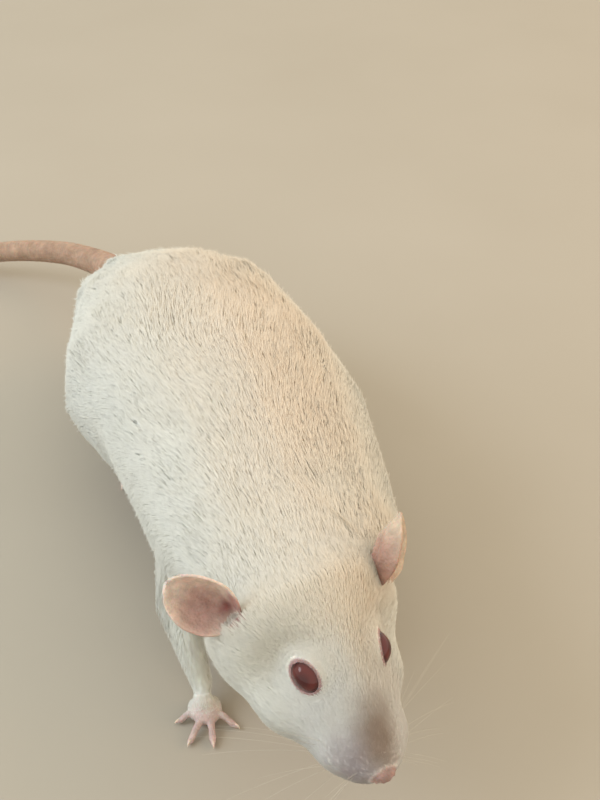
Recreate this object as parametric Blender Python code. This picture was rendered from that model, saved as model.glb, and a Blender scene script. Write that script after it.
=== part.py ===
"""A white pet rat, life size, walking with its head low and turned a little to its left.

Metres, +Z up. The head points to -Y, the rat's left side is +X, and the floor is z = 0.
The solids give the outer form of the coat. Sizes below are in millimetres, and every mesh is made in
metres from them. The origin is the middle of the footprint of the whole rat, tail included.
"""

import math

import bmesh
import bpy
import numpy as np
from mathutils import Euler, Matrix, Vector
from mathutils.bvhtree import BVHTree

MM = 0.001
GAP = 0.3              # clear space between nodes that touch
FLOOR = 0.0            # the soles and the laid tail are cut flat at this level

# Head: its own frame has the middle of the two eyes at the origin, and the nose to -Y
HEAD_AT = (-3.1, -142.4, 56.0)
HEAD_PITCH = 27.5      # degrees, nose down
HEAD_YAW = 9.5         # degrees, nose to the rat's left
HEAD_ROLL = 5.4        # degrees, right cheek up
HEAD_END = (0.0, 22.0, -4.0)        # in the head's frame, where the head ends and the neck starts
NECK_END = (-0.4, -97.0, 47.0)      # where the neck ends and the torso starts
NECK_END_PITCH = 6.0
NECK_END_YAW = 2.0

# Trunk, as rows: x, y, height of the middle, half width, reach up, reach down
TRUNK_ROWS = (
    (-3.0, 70.5, 33.0, 5.0, 5.0, 5.0),
    (-3.0, 68.5, 33.0, 11.0, 9.5, 9.5),
    (-3.0, 62.0, 33.0, 18.5, 14.5, 15.0),
    (-2.3, 51.0, 34.0, 26.5, 20.0, 20.5),
    (-0.6, 36.0, 36.0, 32.3, 25.5, 25.5),
    (0.3, 18.0, 38.5, 36.8, 31.5, 28.5),
    (0.4, 0.0, 40.0, 38.6, 35.0, 31.0),
    (1.6, -20.0, 41.0, 38.2, 35.5, 32.0),
    (3.0, -42.0, 42.0, 37.6, 33.0, 30.5),
    (2.6, -62.0, 43.0, 35.4, 29.0, 27.5),
    (1.5, -80.0, 44.5, 32.3, 25.0, 24.5),
    (1.0, -94.0, 46.5, 29.3, 21.8, 22.0),
)
# Neck, as rows: x, y, height of the middle, pitch, yaw, half width, reach up, reach down
NECK_ROWS = (
    (0.2, -104.0, 49.5, 9.0, 3.0, 26.8, 19.2, 19.2),
    (-0.4, -113.5, 52.3, 18.0, 7.0, 25.2, 18.0, 17.2),
)
# Head, as rows in its own frame: y, height of the widest level, half width, reach up, reach down, and how far
# the upper half narrows towards its ridge, where 1 is an oval
HEAD_ROWS = (
    (16.0, -8.0, 24.2, 19.0, 20.5, 1.05),
    (9.0, -9.0, 23.0, 19.0, 18.0, 1.15),
    (2.5, -10.0, 20.0, 18.2, 14.6, 1.3),
    (-5.0, -10.0, 15.7, 15.6, 11.6, 1.3),
    (-12.0, -9.0, 12.4, 11.8, 9.7, 1.2),
    (-18.5, -8.0, 9.8, 8.1, 8.0, 1.05),
    (-23.5, -7.4, 6.7, 5.0, 5.6, 1.0),
    (-25.9, -7.0, 3.6, 2.9, 3.0, 1.0),
    (-26.9, -6.8, 1.2, 0.9, 1.0, 1.0),
)
SIDES = 28
RUMP_PLACES = (0.0, 0.6, 1.8, 3.4)  # rings of the rounded rump, along the body from its end
TRUNK_STEP = 7.0                    # between the rings of the trunk and neck
HEAD_STEP = 2.2                     # between the rings of the head
CHIN_FULLNESS = 0.92                # the lower half is a little fuller than an oval

# Swellings of the surface, as rows: place in the head's frame, radius, push. Those off the middle are doubled
HEAD_SWELLINGS = (
    ((9.4, -18.0, -8.0), 7.0, 1.0),     # whisker pads
    ((7.0, -15.0, 1.0), 6.0, -0.5),     # the muzzle narrows under its bridge
    ((13.4, 0.4, 0.6), 12.5, -3.0),     # orbits
    ((15.5, -5.0, -11.0), 10.0, 2.4),   # cheeks
)
# The same for the trunk, in the rat's frame
TRUNK_SWELLINGS = (
    ((38.0, -5.0, 29.0), 31.0, 4.4),    # haunches
)

EYE_AT = (8.6, -0.5, -0.7)              # middle of the ball, left side
EYE_RADII = (4.4, 3.4, 3.5)          # along the lids, across them, outwards
EYE_LOOK = (0.82, -0.32, 0.47)          # outwards through the pupil
EYE_CANTHUS = (-0.30, -0.92, -0.10)     # from the back corner of the lids to the front one
LID_RADII = (4.3, 3.1)
LID_THICK = 0.75                        # radius of the rim of the lids
LID_OUT = 1.35                          # the lid ring lies this far out along the look

# Ears, in the head's frame: root, way that the ear points, way that its cup faces, length and half width, and
# the width of its upper and lower side at the root against the widest
EAR_LEFT = ((16.4, 13.4, 3.4), (0.58, 0.70, 0.42), (0.62, -0.68, 0.30), (14.8, 7.0), (0.30, 0.20))
EAR_RIGHT = ((-19.4, 18.4, -1.5), (-0.83, 0.32, 0.48), (-0.34, -0.80, 0.48), (16.4, 6.9), (0.10, 0.42))
EAR_SUNK = 3.0                          # the root starts this far below the coat
EAR_CUP = 3.6                           # depth of the dish
EAR_WIDEST = 0.52                       # share of the length at which the ear is widest
EAR_ROLL_ROOT = 1.15                    # how far round the sides stand at the root and the tip, in radians
EAR_ROLL_TIP = 0.52
EAR_THICK = 0.9

NOSE_AT = (0.0, -25.3, -6.0)
NOSE_RADII = (3.3, 2.2, 2.4)
NOSTRIL_AT = (1.8, -26.5, -6.2)
NOSTRIL_RADII = (0.6, 1.3, 1.0)
NOSTRIL_TURN = (-10.0, 28.0, 24.0)      # degrees about X, Y and Z, left side
MOUTH_ROWS = (                          # left half of the mouth's line, in the head's frame
    (0.0, -25.4, -11.2),
    (2.2, -24.2, -12.6),
    (4.6, -21.2, -13.4),
    (6.4, -17.4, -13.6),
    (7.6, -13.6, -12.6),
)
GROOVE = 0.55                           # radius of the groove of the mouth
MOUTH_RINGS = 15

# Legs, left side: rows of x, y, z, half width, half depth along the bone
FORELEG_ROWS = (
    (21.0, -72.0, 46.0, 8.0, 12.0),
    (24.0, -77.0, 37.0, 8.5, 12.0),
    (26.5, -82.0, 27.0, 6.8, 8.6),
    (26.4, -88.0, 18.0, 4.6, 5.4),
    (25.2, -94.0, 11.0, 3.2, 3.5),
    (24.8, -97.8, 6.6, 2.9, 2.7),
)
FORELEG_SHIFT_LEFT = (-4.5, 9.0, 0.0)   # the left forepaw stands a little behind the right one
FORELEG_SWING = (12.0, 42.0)            # the leg takes that shift in full below the first height, none above
WRIST_ROWS = (
    (25.3, -99.5, 7.4, 2.7, 2.6),
    (25.5, -101.2, 5.0, 3.0, 2.8),
    (25.7, -102.8, 3.0, 3.0, 2.6),
)
HIND_THIGH_AT = (39.0, -9.0, 29.0)      # middle of the oval that parts the haunch from the torso
HIND_THIGH_RADII = (21.0, 31.0, 22.0)
HIND_THIGH_TILT = -20.0                 # degrees about X, its front end low
HIND_SHANK_ROWS = (
    (29.0, -17.0, 27.0, 6.0, 7.0),
    (26.5, -11.0, 18.5, 7.0, 8.0),
    (22.5, -1.0, 11.0, 5.2, 5.6),
    (18.5, 7.0, 6.5, 4.2, 4.2),
)
HIND_STEP_LEFT = -4.0                   # the left hind foot stands further forward than the right one
HIND_STEP_RIGHT = 13.0

FOREPAW_AT = (25.3, -101.5, 2.6)
FOREPAW_RADII = (4.3, 5.2, 3.0)
# Digits of the left forepaw: root x, root y from the paw's middle, heading in degrees from -Y to +X, length
FOREPAW_DIGITS = (
    (-2.7, -2.4, -40.0, 7.0),
    (-0.5, -3.6, 10.0, 8.3),
    (1.7, -3.0, 42.0, 8.2),
    (2.8, 0.0, 82.0, 5.8),
)
DIGIT_RADIUS = 0.95
HIND_DIGIT_RADIUS = 1.2
HINDFOOT_ROWS = (                       # from heel to the roots of the toes, in the foot's frame
    (0.0, 19.5, 3.0, 2.6, 2.6),
    (0.0, 14.0, 3.0, 3.5, 3.3),
    (0.0, 4.0, 2.7, 3.8, 3.0),
    (0.0, -6.0, 2.5, 4.8, 2.7),
    (0.0, -10.5, 2.2, 4.6, 2.3),
)
HINDFOOT_AT = (18.5, -8.0, 0.0)
HINDFOOT_TURN = 5.0                     # degrees outwards
HINDFOOT_DIGITS = (
    (-3.6, -5.0, -20.0, 8.6),
    (-2.3, -9.0, -9.0, 11.0),
    (0.1, -9.8, 0.0, 11.6),
    (2.4, -9.0, 9.0, 11.0),
    (3.8, -3.5, 24.0, 8.2),
)
CLAW_LENGTH = 2.0
FORECLAW_SHARE = 0.7                    # the claws of the forepaws against those of the hind feet
# Along a toe: share of its length, height of its middle, and its radius against that of the digit
TOE_ROWS = ((0.0, 2.3, 1.25), (0.35, 2.5, 1.05), (0.7, 1.6, 0.95), (0.92, 0.95, 1.1), (1.06, 0.8, 0.7))
# Along a claw from the toe's tip: share of its length, height of its middle, radius
CLAW_ROWS = ((-0.3, 1.25, 0.55), (0.5, 1.25, 0.5), (1.0, 0.75, 0.3))
SLAB = (600.0, 50.0)                    # width and depth of the block that cuts the soles flat

# Tail: rows of x, y, z along its middle line, and of the share of its length with the radius there
TAIL_ROWS = (
    (-3.5, 63.0, 33.5),
    (-7.0, 76.0, 31.0),
    (-12.0, 97.0, 25.0),
    (-21.5, 118.0, 19.0),
    (-39.0, 135.0, 13.5),
    (-64.0, 149.0, 6.5),
    (-92.0, 157.0, 3.0),
    (-118.0, 156.0, 2.3),
    (-142.0, 147.0, 1.6),
    (-158.0, 135.0, 1.0),
)
TAIL_RADII = ((0.0, 6.4), (0.06, 5.4), (0.2, 4.5), (0.4, 3.9), (0.62, 2.9), (0.85, 1.9), (1.0, 0.9))
TAIL_CUTS = (0.30, 0.56, 0.80)
TAIL_SIDES = 12
TAIL_RINGS = 46

COLOURS = {
    "coat": (0.86, 0.83, 0.78),
    "ear": (0.66, 0.42, 0.38),
    "eye": (0.20, 0.02, 0.03),
    "skin": (0.78, 0.55, 0.50),
    "tail": (0.58, 0.42, 0.37),
}
ROUGHNESS = {"coat": 0.85, "ear": 0.55, "eye": 0.08, "skin": 0.5, "tail": 0.6}


def smooth_rows(keys, places):
    """Rows at the given places, by a monotone cubic through each column of keys, whose first is the place."""
    keys = np.array(keys, float)
    t, values = keys[:, 0], keys[:, 1:]
    step = np.diff(t)[:, None]
    rise = np.diff(values, axis=0) / step
    slope = np.zeros_like(values)
    same = rise[1:] * rise[:-1] > 0
    mean = 2 * rise[1:] * rise[:-1] / np.where(same, rise[1:] + rise[:-1], 1.0)
    slope[1:-1] = np.where(same, mean, 0.0)
    slope[0], slope[-1] = rise[0], rise[-1]
    rows = []
    for place in places:
        i = int(np.clip(np.searchsorted(t, place) - 1, 0, len(t) - 2))
        h = t[i + 1] - t[i]
        u = (place - t[i]) / h
        rows.append(
            (2 * u**3 - 3 * u**2 + 1) * values[i]
            + (u**3 - 2 * u**2 + u) * h * slope[i]
            + (3 * u**2 - 2 * u**3) * values[i + 1]
            + (u**3 - u**2) * h * slope[i + 1]
        )
    return np.array(rows)


def curve_rows(keys, count):
    """Rows at even steps along a smooth curve through the keys, whose first three columns are a point."""
    keys = np.array(keys, float)
    padded = np.vstack([2 * keys[0] - keys[1], keys, 2 * keys[-1] - keys[-2]])
    fine = []
    for i in range(1, len(padded) - 2):
        a, b, c, d = padded[i - 1 : i + 3]
        for u in np.linspace(0, 1, 24, endpoint=False):
            fine.append(0.5 * (2 * b + (c - a) * u + (2 * a - 5 * b + 4 * c - d) * u**2
                               + (3 * b - a - 3 * c + d) * u**3))
    fine.append(keys[-1])
    fine = np.array(fine)
    run = np.concatenate([[0], np.cumsum(np.linalg.norm(np.diff(fine[:, :3], axis=0), axis=1))])
    where = np.linspace(0, run[-1], count)
    return np.stack([np.interp(where, run, column) for column in fine.T], axis=1)


def turn(pitch, yaw, roll=0.0):
    """Matrix that tips the nose down, turns it to the rat's left and rolls it, in degrees."""
    return (Matrix.Rotation(math.radians(yaw), 3, "Z") @ Matrix.Rotation(math.radians(pitch), 3, "X")
            @ Matrix.Rotation(math.radians(roll), 3, "Y"))


HEAD_TURN = turn(HEAD_PITCH, HEAD_YAW, HEAD_ROLL)


def from_head(point):
    """A point of the head's frame, in the rat's frame."""
    return Vector(HEAD_AT) + HEAD_TURN @ Vector(point)


def mirrored(point, side):
    """The point on the rat's left for side 1 and on its right for side -1."""
    return (point[0] * side, *point[1:])


def add_mesh(name, bm, collection):
    """Put a bmesh, given in millimetres, into a new object in metres."""
    bmesh.ops.recalc_face_normals(bm, faces=bm.faces)
    bmesh.ops.scale(bm, vec=(MM, MM, MM), verts=bm.verts)
    mesh = bpy.data.meshes.new(name)
    bm.to_mesh(mesh)
    bm.free()
    obj = bpy.data.objects.new(name, mesh)
    collection.objects.link(obj)
    return obj


def loft(name, rings, collection):
    """Closed solid through rings of equal count, each end closed by a fan on its middle point."""
    bm = bmesh.new()
    made = [[bm.verts.new(point) for point in ring] for ring in rings]
    sides = len(made[0])
    for ring, following in zip(made, made[1:]):
        for i in range(sides):
            j = (i + 1) % sides
            bm.faces.new((ring[i], ring[j], following[j], following[i]))
    for ring in (made[0], made[-1]):
        middle = bm.verts.new(sum((vert.co for vert in ring), Vector()) / sides)
        for i in range(sides):
            bm.faces.new((ring[i], ring[(i + 1) % sides], middle))
    return add_mesh(name, bm, collection)


def body_ring(row):
    """One section of the body: x, y, z, pitch, yaw, roll, half width, reach up, reach down, ridge."""
    x, y, z, pitch, yaw, roll, wide, up, down, ridge = row
    matrix = turn(pitch, yaw, roll)
    ring = []
    for i in range(SIDES):
        angle = 2 * math.pi * i / SIDES
        across, high = math.cos(angle), math.sin(angle)
        fullness = CHIN_FULLNESS if high < 0 else ridge
        across = math.copysign(abs(across) ** fullness, across)
        high = math.copysign(abs(high) ** fullness, high)
        local = Vector((wide * across, 0.0, (up if high > 0 else down) * high))
        ring.append(Vector((x, y, z)) + matrix @ local)
    return ring


def limb(name, rows, sides, count, collection, flat=False):
    """Tapered limb with oval sections along a curve through rows of x, y, z, half width, half depth."""
    rings = []
    line = curve_rows(rows, count)
    for i, row in enumerate(line):
        ahead = line[min(i + 1, count - 1)][:3] - line[max(i - 1, 0)][:3]
        along = Vector(ahead).normalized()
        side = along.cross(Vector((0, 0, 1)) if flat else Vector((0, 1, 0))).normalized()
        over = side.cross(along)
        angles = [2 * math.pi * k / sides for k in range(sides)]
        rings.append([Vector(row[:3]) + side * (row[3] * math.cos(a)) + over * (row[4] * math.sin(a))
                      for a in angles])
    return loft(name, rings, collection)


def ellipsoid(name, at, radii, collection, rotation=None, segments=20, rings=12):
    """Ellipsoid from a unit sphere, shaped and turned in its mesh."""
    bm = bmesh.new()
    bmesh.ops.create_uvsphere(bm, u_segments=segments, v_segments=rings, radius=1.0)
    shape = Matrix.Diagonal((*radii, 1.0))
    spin = (rotation or Matrix.Identity(3)).to_4x4()
    bmesh.ops.transform(bm, matrix=Matrix.Translation(at) @ spin @ shape, verts=bm.verts)
    return add_mesh(name, bm, collection)


def axes(main, second):
    """Rotation whose Z is main and whose X is second, squared to it."""
    z = Vector(main).normalized()
    x = Vector(second)
    x = (x - z * x.dot(z)).normalized()
    return Matrix((x, z.cross(x), z)).transposed()


def apply_modifiers(obj):
    """Keep the object's mesh as its modifiers make it."""
    graph = bpy.context.evaluated_depsgraph_get()
    mesh = bpy.data.meshes.new_from_object(obj.evaluated_get(graph))
    obj.modifiers.clear()
    obj.data = mesh


def largest_surface(obj):
    """Keep only the largest closed surface of the object."""
    bm = bmesh.new()
    bm.from_mesh(obj.data)
    seen, best = set(), []
    for start in bm.verts:
        if start in seen:
            continue
        shell, front = [], [start]
        seen.add(start)
        while front:
            vert = front.pop()
            shell.append(vert)
            for edge in vert.link_edges:
                other = edge.other_vert(vert)
                if other not in seen:
                    seen.add(other)
                    front.append(other)
        if len(shell) > len(best):
            best = shell
    keep = set(best)
    bmesh.ops.delete(bm, geom=[vert for vert in bm.verts if vert not in keep], context="VERTS")
    bm.to_mesh(obj.data)
    bm.free()


def combine(obj, pieces, operation, cutters, solver="EXACT"):
    """Boolean of the object with closed pieces, which are then removed."""
    group = bpy.data.collections.new(f"{obj.name}_{operation.lower()}")
    cutters.children.link(group)
    for piece in pieces:
        group.objects.link(piece)
    tool = obj.modifiers.new(operation.title(), "BOOLEAN")
    tool.operation = operation
    tool.operand_type = "COLLECTION"
    tool.collection = group
    tool.solver = solver
    apply_modifiers(obj)
    for piece in pieces:
        bpy.data.objects.remove(piece)
    bpy.data.collections.remove(group)
    largest_surface(obj)


def grown(obj, by, collection):
    """Copy of the object with its surface moved out by the given millimetres."""
    mesh = obj.data.copy()
    bm = bmesh.new()
    bm.from_mesh(mesh)
    bm.normal_update()
    moves = [vert.normal * (by * MM) for vert in bm.verts]
    for vert, move in zip(bm.verts, moves):
        vert.co += move
    bm.to_mesh(mesh)
    bm.free()
    copy = bpy.data.objects.new(f"{obj.name}_grown", mesh)
    collection.objects.link(copy)
    return copy


def half_beyond(obj, name, point, normal, collection):
    """Copy of the part of the object on the far side of a plane, closed there, half a gap away from it."""
    normal = Vector(normal).normalized()
    bm = bmesh.new()
    bm.from_mesh(obj.data)
    at = (Vector(point) + normal * (GAP / 2)) * MM
    cut = bmesh.ops.bisect_plane(bm, geom=bm.verts[:] + bm.edges[:] + bm.faces[:], dist=1e-7,
                                 plane_co=at, plane_no=normal, clear_inner=True)
    edges = [item for item in cut["geom_cut"] if isinstance(item, bmesh.types.BMEdge)]
    bmesh.ops.contextual_create(bm, geom=edges)
    mesh = bpy.data.meshes.new(name)
    bmesh.ops.triangulate(bm, faces=[face for face in bm.faces if len(face.verts) > 4])
    bm.to_mesh(mesh)
    bm.free()
    part = bpy.data.objects.new(name, mesh)
    collection.objects.link(part)
    return part


def swell(obj, place, radius, push):
    """Move the surface along its normals near a place, most in the middle."""
    mesh = obj.data
    centre = Vector(place) * MM
    normals = [vert.normal.copy() for vert in mesh.vertices]
    for vert, normal in zip(mesh.vertices, normals):
        share = max(0.0, 1 - (vert.co - centre).length / (radius * MM))
        vert.co += normal * (push * MM * share * share * (3 - 2 * share))


def build_body(collection, cutters):
    """Head, neck and torso as one loft from nose to tail root, parted by two plane cuts."""
    rows = [(x, y, z, 0.0, 0.0, 0.0, *shape, 1.0) for x, y, z, *shape in TRUNK_ROWS]
    rows += [(x, y, z, pitch, yaw, 0.0, *shape, 1.0) for x, y, z, pitch, yaw, *shape in NECK_ROWS]
    for y, z, *shape in HEAD_ROWS:
        rows.append((*from_head((0.0, y, z)), HEAD_PITCH, HEAD_YAW, HEAD_ROLL, *shape))
    points = np.array([row[:3] for row in rows])
    run = np.concatenate([[0], np.cumsum(np.linalg.norm(np.diff(points, axis=0), axis=1))])
    keys = [(s, *row) for s, row in zip(run, rows)]
    head_start = run[len(TRUNK_ROWS) + len(NECK_ROWS)]
    trunk = np.linspace(0, head_start, round(head_start / TRUNK_STEP), endpoint=False)
    front = np.linspace(head_start, run[-1], round((run[-1] - head_start) / HEAD_STEP))
    places = [*RUMP_PLACES, *trunk[1:], *front]
    whole = loft("whole", [body_ring(row) for row in smooth_rows(keys, places)], cutters)
    for place, radius, push in HEAD_SWELLINGS:
        for side in (1, -1):
            swell(whole, from_head(mirrored(place, side)), radius, push)
    back = HEAD_TURN @ Vector((0, 1, 0))
    cut = from_head(HEAD_END)
    head = half_beyond(whole, "head", cut, -back, collection)
    behind = half_beyond(whole, "behind", cut, back, cutters)
    neck_way = turn(NECK_END_PITCH, NECK_END_YAW) @ Vector((0, 1, 0))
    neck = half_beyond(behind, "neck", NECK_END, -neck_way, collection)
    torso = half_beyond(behind, "torso", NECK_END, neck_way, collection)
    for place, radius, push in TRUNK_SWELLINGS:
        for side in (1, -1):
            swell(torso, mirrored(place, side), radius, push)
    for spare in (whole, behind):
        bpy.data.objects.remove(spare)
    return head, neck, torso


def surface_tree(obj):
    """Search tree of the object's surface, in metres."""
    return BVHTree.FromPolygons([vert.co.copy() for vert in obj.data.vertices],
                                [tuple(face.vertices) for face in obj.data.polygons])


def lid_rim(name, middle, frame):
    """Oval rim of the lids: a ring whose radii are the lids', in the eye's own turn."""
    tube = 0.2
    bpy.ops.mesh.primitive_torus_add(major_segments=22, minor_segments=6, major_radius=1.0, minor_radius=tube)
    rim = bpy.context.object
    rim.name = name
    for vert in rim.data.vertices:
        u, v, w = vert.co
        length = math.hypot(u, v)
        outward = (length - 1.0) / tube * LID_THICK
        place = Vector((u / length * (LID_RADII[0] + outward), v / length * (LID_RADII[1] + outward),
                        w / tube * LID_THICK))
        vert.co = (middle + frame @ place) * MM
    return rim


def dress_head(head, collection, cutters):
    """Lids, eyes in their sockets, nose, nostrils and the line of the mouth."""
    pieces, sockets, eyes = [], [], []
    for side, word in ((1, "left"), (-1, "right")):
        look = HEAD_TURN @ Vector(mirrored(EYE_LOOK, side))
        along = HEAD_TURN @ Vector(mirrored(EYE_CANTHUS, side))
        frame = axes(look, along)
        at = from_head(mirrored(EYE_AT, side))
        pieces.append(lid_rim(f"lid_{word}", at + look.normalized() * LID_OUT, frame))
        eyes.append(ellipsoid(f"eye_{word}", at, EYE_RADII, collection, frame, 16, 11))
        room = [radius + GAP for radius in EYE_RADII]
        sockets.append(ellipsoid(f"socket_{word}", at, room, cutters, frame, 16, 11))
    pieces.append(ellipsoid("nose", from_head(NOSE_AT), NOSE_RADII, cutters, HEAD_TURN, 20, 12))
    combine(head, pieces, "UNION", cutters)

    cuts = list(sockets)
    tree = surface_tree(head)
    for side in (1, -1):
        tip, spin, splay = NOSTRIL_TURN
        slant = Euler((math.radians(tip), math.radians(spin * side), math.radians(splay * side))).to_matrix()
        cuts.append(ellipsoid("nostril", from_head(mirrored(NOSTRIL_AT, side)), NOSTRIL_RADII, cutters,
                              HEAD_TURN @ slant, 12, 8))
        line = []
        for row in curve_rows([mirrored(row, side) for row in MOUTH_ROWS], MOUTH_RINGS):
            point = tree.find_nearest(from_head(row) * MM)[0] / MM
            line.append((*point, GROOVE, GROOVE))
        cuts.append(limb("mouth", line, 8, MOUTH_RINGS, cutters))
    combine(head, cuts, "DIFFERENCE", cutters)
    return eyes


def build_ear(word, plan, beside, collection, cutters):
    """One ear: a round dish, narrow and rolled at its root, open towards its face."""
    root, axis, face, (length, half_width), shares = plan
    frame = axes(HEAD_TURN @ Vector(face), HEAD_TURN @ Vector(axis))
    length_way, normal = frame.col[0], frame.col[2]
    width_way = frame.col[1]
    across, along = 10, 11
    base = from_head(root)
    inner, outer = [], []
    for j in range(along + 1):
        v = j / along
        height = (length + EAR_SUNK) * v - EAR_SUNK
        rolled = EAR_ROLL_ROOT + (EAR_ROLL_TIP - EAR_ROLL_ROOT) * v
        halves = []
        for share in shares:
            if v > EAR_WIDEST:
                open_share = math.sqrt(max(0.0, 1 - ((v - EAR_WIDEST) / (1 - EAR_WIDEST)) ** 2))
            else:
                open_share = share + (1 - share) * math.sin(math.pi / 2 * v / EAR_WIDEST)
            halves.append(max(half_width * open_share, EAR_THICK))
        thick = EAR_THICK * (1.15 - 0.35 * v)
        row_in, row_out = [], []
        for i in range(across + 1):
            u = 2 * i / across - 1
            bend = u * rolled
            radius = halves[0 if u < 0 else 1] / math.sin(rolled)
            sideways = radius * math.sin(bend)
            dip = radius * (1 - math.cos(bend)) - EAR_CUP * (1 - (2 * v - 1.0) ** 2) * (1 - u * u)
            place = base + length_way * height + width_way * sideways + normal * dip
            row_in.append(place)
            row_out.append(place - normal * thick)
        inner.append(row_in)
        outer.append(row_out)
    bm = bmesh.new()
    top = [[bm.verts.new(p) for p in row] for row in inner]
    low = [[bm.verts.new(p) for p in row] for row in outer]
    for j in range(along):
        for i in range(across):
            for grid in (top, low):
                corners = (grid[j][i], grid[j][i + 1], grid[j + 1][i + 1], grid[j + 1][i])
                bm.faces.new(corners[:3])
                bm.faces.new((corners[0], corners[2], corners[3]))
    border = ([(0, i) for i in range(across)] + [(j, across) for j in range(along)]
              + [(along, across - i) for i in range(across)] + [(along - j, 0) for j in range(along)])
    for (j, i), (k, m) in zip(border, border[1:] + border[:1]):
        bm.faces.new((top[j][i], top[k][m], low[k][m], low[j][i]))
    ear = add_mesh(f"ear_{word}", bm, collection)
    for node in beside:
        combine(ear, [grown(node, GAP, cutters)], "DIFFERENCE", cutters)
    return ear


def cut_flat(obj, cutters):
    """Take away what lies below the floor, which leaves flat soles."""
    wide, deep = SLAB
    bm = bmesh.new()
    bmesh.ops.create_cube(bm, size=1.0)
    bmesh.ops.scale(bm, vec=(wide, wide, deep), verts=bm.verts)
    bmesh.ops.translate(bm, vec=(0.0, 0.0, FLOOR - deep / 2), verts=bm.verts)
    combine(obj, [add_mesh("slab", bm, cutters)], "DIFFERENCE", cutters)


def digit(name, root, heading, length, radius, claw, cutters):
    """One toe that arches from its root down to a pad on the floor, with its claw."""
    ahead = Vector((math.sin(math.radians(heading)), -math.cos(math.radians(heading)), 0.0))
    rows = []
    for share, height, thick in TOE_ROWS:
        point = Vector(root) + ahead * (length * share)
        rows.append((point.x, point.y, height, radius * thick, radius * thick))
    toe = limb(f"{name}_toe", rows, 6, 5, cutters, flat=True)
    hook = []
    for share, height, thick in CLAW_ROWS:
        point = Vector(root) + ahead * (length + claw * share)
        hook.append((point.x, point.y, height, thick, thick))
    return [toe, limb(f"{name}_claw", hook, 5, 3, cutters, flat=True)]


def build_foreleg(side, word, torso, collection, cutters):
    """Foreleg from the shoulder to the wrist, and its paw with four digits."""
    shift = Vector(FORELEG_SHIFT_LEFT) if side > 0 else Vector()
    rows = []
    wrist_z, elbow_z = FORELEG_SWING
    for x, y, z, wide, deep in FORELEG_ROWS:
        low = 1.0 - min(1.0, max(0.0, (z - wrist_z) / (elbow_z - wrist_z)))
        rows.append((side * x + shift.x * low, y + shift.y * low, z, wide, deep))
    leg = limb(f"foreleg_{word}", rows, 14, 14, collection)
    at = Vector((side * FOREPAW_AT[0], *FOREPAW_AT[1:])) + shift
    paw = ellipsoid(f"forepaw_{word}", at, FOREPAW_RADII, collection, None, 16, 10)
    wrist = [(*(Vector((side * x, y, z)) + shift), wide, deep) for x, y, z, wide, deep in WRIST_ROWS]
    claw = CLAW_LENGTH * FORECLAW_SHARE
    toes = [limb("wrist", wrist, 12, 5, cutters)]
    for x, y, heading, length in FOREPAW_DIGITS:
        root = at + Vector((side * x, y, 0))
        toes += digit("forepaw", root, side * heading, length - claw, DIGIT_RADIUS, claw, cutters)
    combine(paw, toes, "UNION", cutters)
    cut_flat(paw, cutters)
    combine(leg, [grown(paw, GAP, cutters)], "DIFFERENCE", cutters)
    combine(torso, [grown(leg, GAP, cutters)], "DIFFERENCE", cutters, "MANIFOLD")
    return leg, paw


def build_hind_leg(side, word, torso, collection, cutters):
    """Haunch and shank in one node, and the long foot with five toes."""
    step = HIND_STEP_LEFT if side > 0 else HIND_STEP_RIGHT
    tilt = Matrix.Rotation(math.radians(HIND_THIGH_TILT), 3, "X")
    at = Vector(mirrored(HIND_THIGH_AT, side)) + Vector((0, step / 4, 0))
    leg = bpy.data.objects.new(f"hind_leg_{word}", torso.data.copy())
    collection.objects.link(leg)
    combine(leg, [ellipsoid("haunch", at, HIND_THIGH_RADII, cutters, tilt, 24, 15)], "INTERSECT", cutters)
    rows = [(side * x, y + step, z, wide, deep) for x, y, z, wide, deep in HIND_SHANK_ROWS]
    combine(leg, [limb("shank", rows, 16, 10, cutters)], "UNION", cutters)
    foot_at = Vector(mirrored(HINDFOOT_AT, side)) + Vector((0, step, 0))
    spin = Matrix.Rotation(math.radians(HINDFOOT_TURN * side), 3, "Z")
    foot_rows = []
    for x, y, z, wide, deep in HINDFOOT_ROWS:
        foot_rows.append((*(foot_at + spin @ Vector((x, y, z))), wide, deep))
    foot = limb(f"hind_foot_{word}", foot_rows, 12, 9, collection, flat=True)
    toes = []
    for x, y, heading, length in HINDFOOT_DIGITS:
        root = foot_at + spin @ Vector((side * x, y, 0))
        turned = side * (heading + HINDFOOT_TURN)
        toes += digit("hind_foot", root, turned, length - CLAW_LENGTH, HIND_DIGIT_RADIUS, CLAW_LENGTH,
                      cutters)
    combine(foot, toes, "UNION", cutters)
    cut_flat(foot, cutters)
    combine(leg, [grown(foot, GAP, cutters)], "DIFFERENCE", cutters)
    combine(torso, [grown(leg, GAP, cutters)], "DIFFERENCE", cutters, "MANIFOLD")
    return leg, foot


def build_tail(torso, collection, cutters):
    """The tail in four lengths, laid on the floor past its first third."""
    line = curve_rows(TAIL_ROWS, TAIL_RINGS)
    radii = smooth_rows(TAIL_RADII, np.linspace(0, 1, TAIL_RINGS))[:, 0]
    rows = [(*point, radius, radius) for point, radius in zip(line, radii)]
    whole = limb("tail", rows, TAIL_SIDES, TAIL_RINGS, cutters, flat=True)
    cut_flat(whole, cutters)
    combine(whole, [grown(torso, GAP, cutters)], "DIFFERENCE", cutters)
    names = ("tail_base", "tail_middle", "tail_end", "tail_tip")
    parts, rest = [], whole
    for name, share in zip(names, TAIL_CUTS):
        i = round(share * (TAIL_RINGS - 1))
        point = Vector(line[i])
        way = Vector(line[i + 1] - line[i - 1]).normalized()
        parts.append(half_beyond(rest, name, point, -way, collection))
        following = half_beyond(rest, "rest", point, way, cutters)
        bpy.data.objects.remove(rest)
        rest = following
    rest.name = names[-1]
    cutters.objects.unlink(rest)
    collection.objects.link(rest)
    return [*parts, rest]


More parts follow.
